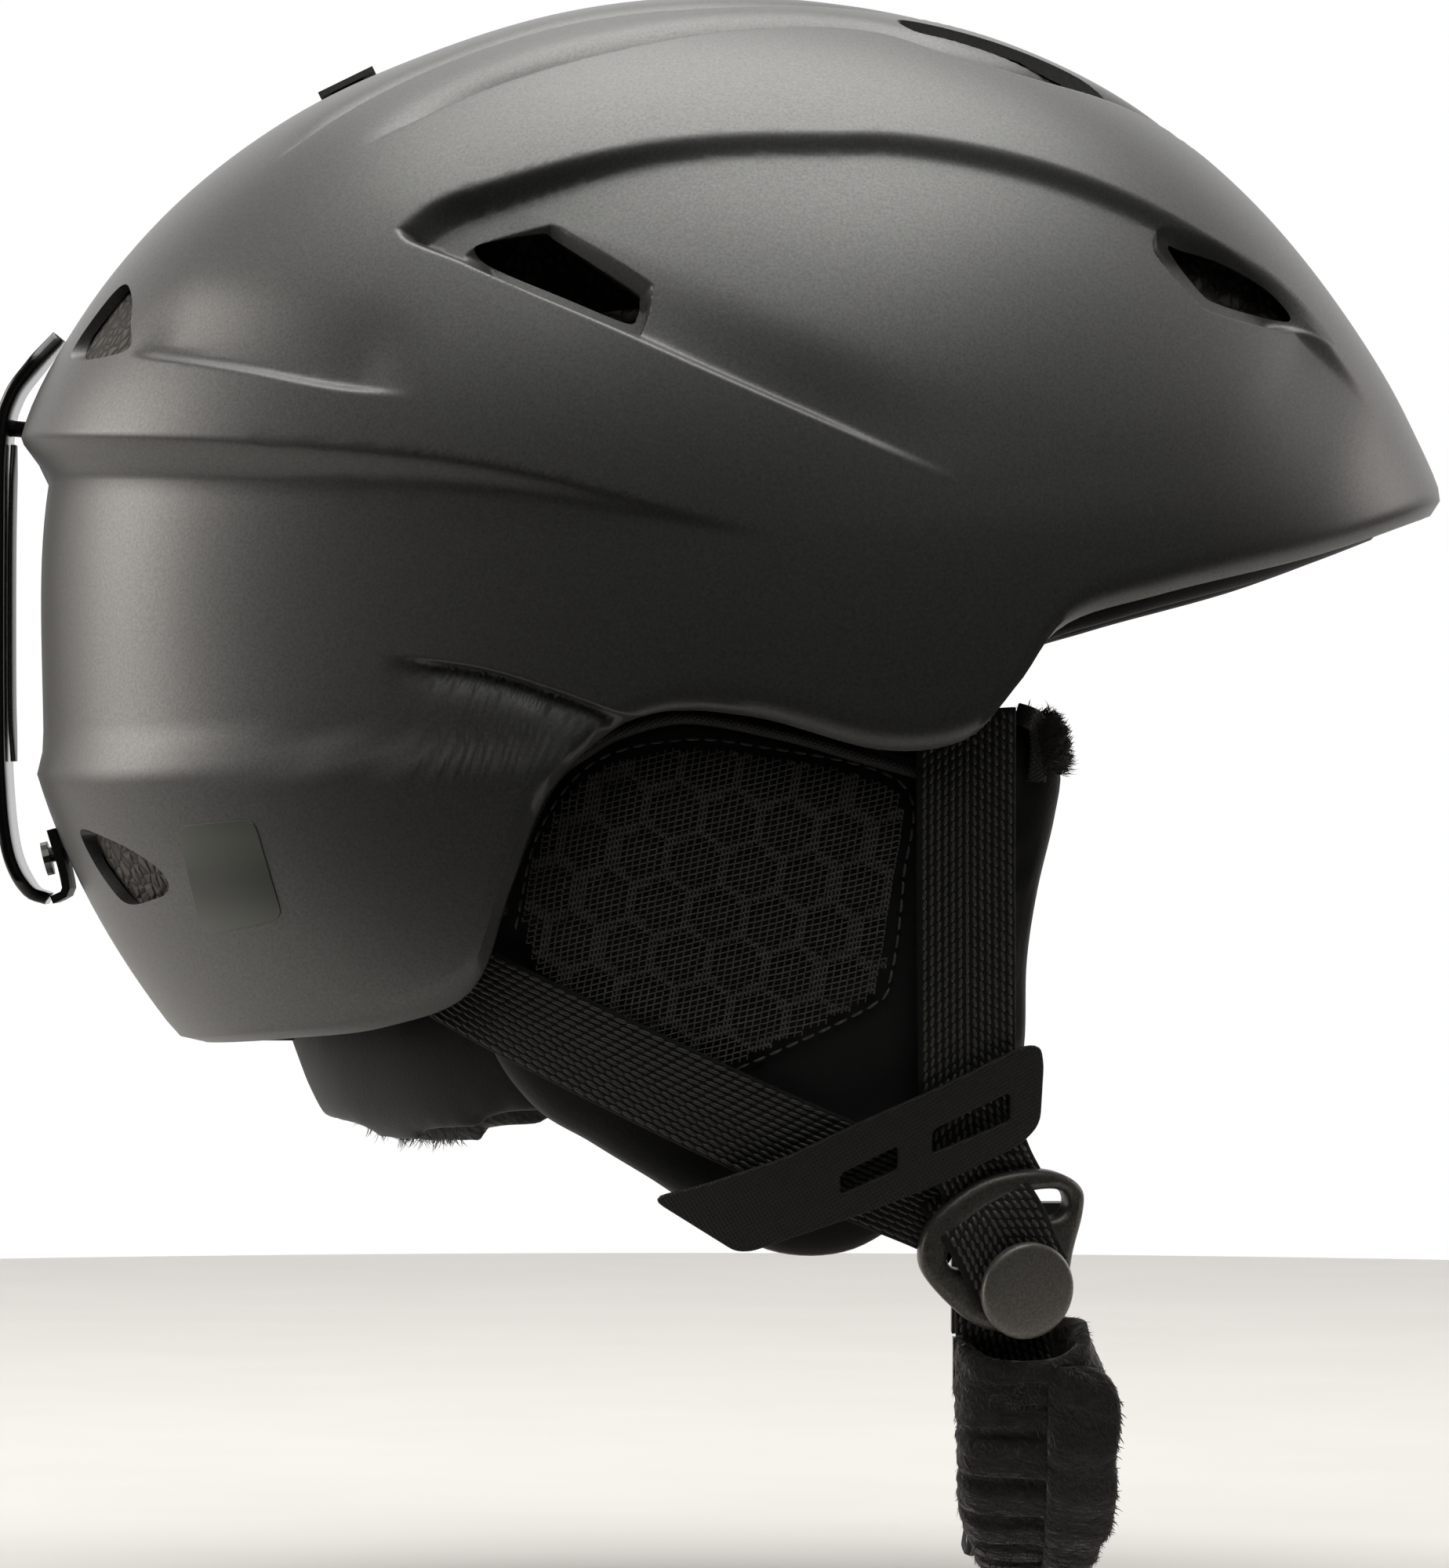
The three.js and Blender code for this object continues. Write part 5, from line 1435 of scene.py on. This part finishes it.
def adjuster():
    """Slotted plate with its webbing, held by a round cap, on the right side."""
    side = SIDES["right"]
    outline, slot = (spline(line, 0.9, closed=True) for line in (ADJUSTER, ADJUSTER_SLOT))
    plate = ear_plate("adjuster_plate_body", outline, [slot], finish="satin", side=side, crease=60,
                      **ADJUSTER_BODY)
    placed(plate, "satin", "adjuster_plate")
    placed(ear_band("adjuster_web", side, **ADJUSTER_BAND), "webbing", "adjuster_webbing")
    (centre,), (way,) = on_ear([DISC["x"]], [DISC["z"]], [6.9], side)
    r = DISC["radius"]
    profile = [(-1, r - 2), (1.3, r - 2), (1.4, r - 0.5), (1.8, r), (3.2, r + 0.1), (3.8, r - 0.3),
               (4.0, r - 0.9), (4.1, r - 1.6), (4.25, r * 0.55), (4.3, 0.3)]
    points, faces = turned_shape(centre, way, profile)
    cap = put_in_scene("adjuster_cap", points, faces, "disc", 50, flip_out=True)
    placed(cap, "satin", "adjuster_disc")

# ---------------------------------------------------------------- chin strap

def chin_line(first, last, step=1.5):
    """Chin strap's line in the plane across the head, from one share of its turn to another."""
    turn = math.pi * (1 + np.linspace(first, last, 400))
    power = 2 / CHIN["power"]
    y = CHIN["half_width"] * np.sign(np.cos(turn)) * np.abs(np.cos(turn))**power
    z = CHIN["top"] - CHIN["depth"] * np.abs(np.sin(turn))**power
    return evenly(np.stack([np.full(400, float(CHIN["x"])), y, z], axis=1), step)


def line_frame(line):
    """Across and outward directions along the chin strap; outward points away from the head."""
    across = np.tile([1.0, 0.0, 0.0], (len(line), 1))
    return across, unit(np.cross(np.gradient(line, axis=0), across))


def chin_webbing():
    """Webbing from under the cap, round the chin, to the buckle tongue."""
    start = [(66.4, -69.4, -129), (65.2, -68.3, -136), (65.0, -68.8, -143)]
    round_chin = chin_line(0.06, 0.89, 6)
    round_chin[:, 0] += 2.0 * smooth(round_chin[:, 1] / 50)
    line = spline([*start, *round_chin, (70, 69.4, -158.5)], 1.5)
    across, out = line_frame(line)
    web = woven_band("chin_web", line, across, out, weave=CHEVRON, finish="yarn", faces=(1, -1), **CHIN_BAND)
    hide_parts("chin_strap")
    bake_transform(web)


CHIN_BAND = dict(width=18.4, thick=1.4)
SLEEVE = dict(first=0.0, last=0.79, middle=70.2, width=29.6, thick=11.0, quilt=9.6, overlap=73.6)


def fur_lumps(points, size, depth):
    """Slow uneven swelling, the same each run, from a few crossed waves."""
    x, y, z = points.T / size
    slow = np.sin(1.3 * x + 2.1 * z) * np.sin(0.9 * z - 1.7 * y + 0.6)
    quick = np.sin(2.9 * z + 1.1 * x + 2) * np.sin(2.3 * y + 1.9 * x)
    return depth * (slow + 0.6 * quick)


def sleeve_section(count=88):
    """Section of the sleeve: a rounded bar as (across, outward) pairs of unit size."""
    turn = np.linspace(0, 2 * math.pi, count, endpoint=False)
    return np.stack([np.sign(np.cos(turn)) * np.abs(np.cos(turn))**0.5,
                     np.sign(np.sin(turn)) * np.abs(np.sin(turn))**0.85], axis=1) / 2


def chin_sleeve():
    """Fur sleeve round the webbing, quilted across, open at its upper end, with a lapped front edge."""
    line = chin_line(SLEEVE["first"] + 0.02, SLEEVE["last"], 1.1)
    line = np.vstack([line[0] + [0, 0.3, 3.2], line[0] + [0, 0.1, 1.6], line])
    line[:, 0] = SLEEVE["middle"] + 3.4 * smooth((line[:, 1] + 20) / 80)
    across, out = line_frame(line)
    run = run_along(line)
    section = sleeve_section()
    mouth = smooth((9 - run) / 9)
    end = smooth((run[-1] - run) / 5) * 0.3 + 0.7
    wide = (SLEEVE["width"] - 4 * mouth - 10 * smooth((-174 - line[:, 2]) / 20)) * end
    thick = (SLEEVE["thick"] + 3.4 * mouth) * end
    from_seam = (run - 12) % SLEEVE["quilt"] - SLEEVE["quilt"] / 2
    quilt = np.exp(-(from_seam / 1.1)**2) * smooth((run - 9) / 6)
    u = section[None, :, 0] * wide[:, None]
    w = section[None, :, 1] * thick[:, None]
    lapped = (u + SLEEVE["middle"] < SLEEVE["overlap"]) & (w > 0)
    w = w * (1 - 0.42 * quilt[:, None] * np.where(lapped, 1.0, 0.3)) - np.where(lapped, 0.7, 0.0)
    lean = 0.03 * (line[0, 2] - line[:, 2]) - mouth * 1.5
    centre = line[:, None] + np.array([1, 0, 0]) * lean[:, None, None]
    points = centre + across[:, None] * u[..., None] + out[:, None] * w[..., None]
    flat = points.reshape(-1, 3)
    away = unit(flat - np.repeat(centre[:, 0], len(section), axis=0))
    flat = flat + away * fur_lumps(flat, 2.6, 0.32)[:, None]
    points = flat.reshape(points.shape)
    tip = section[None, :, 1] * -9.5 + section[None, :, 0]**2 * 8
    points[..., 2] += mouth[:, None] * tip
    rings = [points[0] * (1 - s) + centre[0] * s + np.array([0, 0, -d]) for s, d in
             ((0.1, -0.3), (0.2, 0.3), (0.24, 3), (0.26, 9))]
    rows, columns = points.shape[:2]
    every = np.vstack([*rings[::-1], points.reshape(-1, 3)])
    sleeve = put_in_scene("chin_sleeve", every, tube_faces(rows + 4, columns), "fur", 180, flip_out=True)
    placed(sleeve, "fleece", "chin_pad", body="chin")
    fur_on(sleeve, "chin_sleeve_fur", 15000, "chin", 1.7, (0.25, 0.1, -1.0), seed=5)


def chin_lap():
    """Hook-and-loop lap of the sleeve: a second layer down its front edge with a free upper corner."""
    line = chin_line(0.022, SLEEVE["last"] - 0.03, 1.2)
    across, out = line_frame(line)
    run = run_along(line)
    rows = []
    for number in range(len(line)):
        t = run[number]
        corner = 7.5 * (1 - math.sqrt(max(0, 1 - (1 - min(t / 9, 1))**2)))
        sink = 6 * float(smooth(np.array((-174 - line[number, 2]) / 20)))
        low_edge, high_edge = SLEEVE["overlap"] - 0.3, 87.4 - corner - 0.04 * max(0, t - 8) - sink
        wave = 0.5 * math.sin(t / 3.4) + 0.3 * math.sin(t / 1.7 + 1)
        u = np.linspace(low_edge, high_edge + wave * 0.5, 14) - CHIN["x"]
        swell = 1.5 * np.sin(np.linspace(0.0, math.pi, 14))**0.5
        bulge = 5.2 + swell - 0.4 * math.cos(2 * math.pi * t / SLEEVE["quilt"])
        rows.append((u, bulge))
    outer, inner = (np.array([line[i] + across[i] * u[:, None] + out[i] * (b + off)[:, None]
                              for i, (u, b) in enumerate(rows)]) for off in (0.8, -1.6))
    lumps = fur_lumps(outer.reshape(-1, 3), 2.4, 0.25).reshape(outer.shape[:2])
    outer = outer + out[:, None] * lumps[..., None]
    points = np.concatenate([outer, inner[:, ::-1]], axis=1)
    mesh = closed_mesh("lap", points.reshape(-1, 3), tube_faces(*points.shape[:2]))
    lap = subdivided("chin_lap", mesh, "fur")
    placed(lap, "fleece", body="chin")
    fur_on(lap, "chin_lap_fur", 8000, "chin", 1.7, (0.5, 0.1, -0.9), seed=6)


def fibre_shape(length, width):
    """One flattened hair clump, curved, thinning to its tip."""
    points, steps = [], 3
    for k in range(steps):
        t = k / steps
        half = width / 2 * (1 - 0.5 * t)
        bend = 0.35 * length * t * t
        points += [(bend, -half, length * t), (bend, half, length * t)]
    points.append((0.35 * length, 0, length))
    faces = [(0, 1, 3, 2), (2, 3, 5, 4), (4, 5, 6)]
    return np.array(points, float), faces


def fur_on(piece, name, count, body, length, lie, seed, region=None):
    """Hair clumps over a finished piece, leaning the way the fur lies."""
    mesh = piece.data
    mesh.calc_loop_triangles()
    corners = np.zeros(len(mesh.loop_triangles) * 3, int)
    mesh.loop_triangles.foreach_get("vertices", corners)
    co = np.array([v.co for v in mesh.vertices])[corners.reshape(-1, 3)] / MM
    if region is not None:
        co = co[region(co.mean(1))]
    normal = np.cross(co[:, 1] - co[:, 0], co[:, 2] - co[:, 0])
    area = np.linalg.norm(normal, axis=1)
    dice = np.random.default_rng(seed)
    pick = dice.choice(len(co), count, p=area / area.sum())
    a, b = dice.random((2, count, 1))
    swap = (a + b) > 1
    a, b = np.where(swap, 1 - a, a), np.where(swap, 1 - b, b)
    place = co[pick, 0] + a * (co[pick, 1] - co[pick, 0]) + b * (co[pick, 2] - co[pick, 0])
    normal = unit(normal[pick])
    flow = np.array(lie) + dice.normal(0, 0.35, (count, 3))
    rise = unit(normal * 0.55 + unit(flow - normal * (flow * normal).sum(1, keepdims=True)))
    along = np.cross(np.cross(rise, normal), rise)
    fur = laid_out(name, (place - normal * 0.25, -along, rise), fibre_shape(length, 0.26), "fibre",
                   spread=0.35, seed=seed)
    placed(fur, "fleece", body=body)


# ---------------------------------------------------------------- goggle clip, label and nape

CLIP_PATH = [
    [-120.8, 51.5], [-125.8, 45.5], [-130, 39.5], [-132, 31.2], [-132.4, 9.4], [-132.4, -21.9],
    [-132, -38], [-130.4, -51], [-126.8, -58.4], [-123, -60.3],
]
GRIP_PATH = [[-130.0, 30], [-130.4, 9], [-130.4, -20], [-130.0, -33]]


def bent_strip(name, path, width, thick, finish):
    """Moulded strip bent along a line in side view, centred across the helmet."""
    line = spline(path, 1.0)
    line = np.stack([line[:, 0], np.zeros(len(line)), line[:, 1]], axis=1)
    across = np.tile([0.0, 1.0, 0.0], (len(line), 1))
    out = unit(np.cross(np.gradient(line, axis=0), across))
    run = run_along(line)
    taper = np.minimum(1, 0.55 + np.minimum(run, run[-1] - run) / 14)[:, None, None]
    section = flat_section(width, thick, 6)
    points = (line[:, None] + across[:, None] * section[None, :, :1] * taper
              + out[:, None] * section[None, :, 1:])
    faces = tube_faces(len(line), len(section))
    return put_in_scene(name, points.reshape(-1, 3), faces, finish, 50, flip_out=True)


def goggle_clip():
    """Rubber band of the goggle clip, with a thin grip strip inside it."""
    band = bent_strip("clip_band", CLIP_PATH, 25, 2.4, "rubber")
    placed(band, "rubber", "goggle_clip", body="clip")
    grip = bent_strip("clip_grip", GRIP_PATH, 12, 0.9, "satin")
    placed(grip, "rubber", body="clip")


def label_patch():
    """Blank film label by the nape, following the painted shell."""
    corners = np.array([(-93.5, -45.5), (-78, -44), (-72.5, -63.3), (-89, -66.8)])
    edge = rounded(corners, 2.6, 6)
    edge = evenly(np.vstack([edge, edge[:1]]), 1.0)[:-1]
    middle = edge.mean(0)
    shares = (1.0, 0.985, 0.9, 0.8, 0.7, 0.6, 0.5, 0.4, 0.3, 0.2, 0.1)
    rings = [middle + (edge - middle) * s for s in shares]
    lift = (-0.3, *[0.16] * (len(shares) - 1))
    points = []
    for ring, rise in zip(rings, lift):
        place = np.stack([ring[:, 0], -half_width(ring[:, 0], ring[:, 1]), ring[:, 1]], axis=1)
        way = unit(place - CENTRE)
        points.append(on_shell(way, np.full(len(way), FAR), -rise))
    faces = grid_faces(len(rings), len(edge), closed_columns=True)
    faces.append(tuple(range((len(rings) - 1) * len(edge), len(rings) * len(edge))))
    faces.append(tuple(range(len(edge))))
    label = put_in_scene("blank_label", np.vstack(points), faces, "label", 40, flip_out=True)
    placed(label, "label", "label_patch")


NAPE_LINE = [(10, -64), (-6, -66), (-22, -65), (-37, -60), (-54, -49), (-68, -30), (-74, 0)]
NAPE_TOP = -77.0
NAPE_HEM = [[-75, -106], [-66, -108.5], [-50, -107.5], [-34, -104], [-22, -103.5], [-8, -110], [4, -117],
            [10, -119]]


def nape_pad():
    """Soft pad round the nape: it hangs below the rim and runs forward behind the ear pads."""
    half = np.array(NAPE_LINE, float)
    line = spline(np.vstack([half, (half * [1, -1])[-2::-1]]), 3.0)
    line = np.stack([line[:, 0], line[:, 1], np.zeros(len(line))], axis=1)
    across = np.tile([0.0, 0.0, 1.0], (len(line), 1))
    out = unit(np.cross(across, np.gradient(line, axis=0)))
    if out[len(line) // 2, 0] > 0:
        out = -out
    bottom = through(NAPE_HEM, line[:, 0])
    for name, finish, thick, offset, longer in (("nape_pad_cover", "softshell", 7.0, 2.6, 0.0),
                                                ("nape_pad_fleece", "fleece", 6.0, -3.4, 1.6)):
        section = sleeve_section(28)
        tall = (NAPE_TOP - bottom + longer)[:, None]
        z = (NAPE_TOP + bottom - longer)[:, None] / 2 + section[None, :, 0] * tall
        place = line[:, None] + out[:, None] * (section[None, :, 1:] * thick + offset)
        place[..., 0] += 0.4 * (NAPE_TOP - z) * smooth(-line[:, :1] / 70)
        place[..., 2] = z
        mesh = closed_mesh(name, place.reshape(-1, 3), tube_faces(*place.shape[:2]))
        pad = padded_from(name, mesh, finish, 2.2, 0.8)
        placed(pad, finish, *(["nape_pad"] if longer else []))
        if longer:
            fur_on(pad, "nape_fringe", 2600, "root", 2.6, (-0.3, 0, -1), 8,
                   region=lambda c: (c[:, 2] < -100) & (c[:, 0] < -40))


def brow_lip():
    """Padded lip that shows under the front edge of the shell."""
    ring = on_shell(RINGS[0], RING_HEIGHTS[0], 0.0, WIDE_RELIEF[0])
    near = ring[(ring[:, 0] > 66) & (ring[:, 0] < 148)]
    right = near[near[:, 1] <= 0.01]
    left = near[near[:, 1] > 0.01]
    right = right[np.argsort(right[:, 0])]
    left = left[np.argsort(-left[:, 0])]
    line = evenly(np.vstack([right, left]), 2.5)
    inwards = unit((np.array([20.0, 0, 0]) - line) * [1, 1, 0])
    line = line + inwards * 11 + [0, 0, 0.2]
    across = np.tile([0.0, 0.0, 1.0], (len(line), 1))
    points, faces, _ = swept(line, across, inwards, ring_section(9.5, 6.0, 16))
    lip = as_object("brow_lip", closed_mesh("brow lip", points, faces), "softshell", 180)
    placed(lip, "softshell")


# Lines in side view, each point with its distance off the ear side's sheet.
TUFT_LINE = [(71.5, -25, -3), (72.6, -27, -2), (73.6, -30.5, -2), (74.2, -34.5, -3)]
LOOP_LINE = [(66.6, -24, 1.0), (68.3, -24.5, 2.4), (70.4, -26, 1.2), (71, -31, 0.8), (70.6, -37, 0.2)]


def temple_tuft():
    """Lining that shows as a tuft of fur and a small taped loop at the ear pad's upper front corner."""
    x, z, out = np.array(TUFT_LINE).T
    for name, side in SIDES.items():
        place, _ = on_ear(x, z, out, side)
        line = spline(place, 1.2)
        across, away = line_frame(line)
        points, faces, _ = swept(line, across, away, ring_section(8.0, 8.0, 14))
        core = put_in_scene(f"tuft_{name}_core", points, faces, "fur", 180, flip_out=True)
        placed(core, "fleece")
        fur_on(core, f"tuft_{name}", 2400, "root", 2.6, (0.8, 0, 0.5), 11)
        loop = spline(LOOP_LINE, 0.8)
        centre, normal = on_ear(loop[:, 0], loop[:, 1], loop[:, 2], side)
        across = unit(np.cross(normal, np.gradient(centre, axis=0)))
        points, faces, _ = swept(centre, across, normal, flat_section(4.2, 1.0))
        tape = put_in_scene(f"taped_loop_{name}", points, faces, "ribs", 50, flip_out=True)
        placed(tape, "webbing")


# ---------------------------------------------------------------- CAD nodes that keep their shape

KEPT = {
    "satin": ["buckle_tongue"],
    "paint": ["vent_slider"],
    "nylon": ["vent_shutter", "buckle_socket", "buckle_button", "clip_tab", "dial_housing",
              "housing_cover", "fit_dial", "dial_pinion", "fit_wing_left", "fit_wing_right", "snap_stud"],
    "rubber": ["snap_cap"],
    "steel": ["clip_screw", "dial_screw"],
    "ground": ["strap_tail_left"],
}


def finish_kept_nodes():
    """Gives every CAD node that stays its finish, through its material slots."""
    for finish, nodes in KEPT.items():
        for node in nodes:
            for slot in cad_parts[node].material_slots:
                slot.material = FINISH[finish]


side_camera()
studio()
floor()
outer_shell()
foam_liner()
label_patch()
goggle_clip()
for side_name, side_sign in SIDES.items():
    ear_side(side_name, side_sign)
adjuster()
chin_webbing()
chin_sleeve()
chin_lap()
nape_pad()
brow_lip()
temple_tuft()
comfort_pads()
finish_kept_nodes()
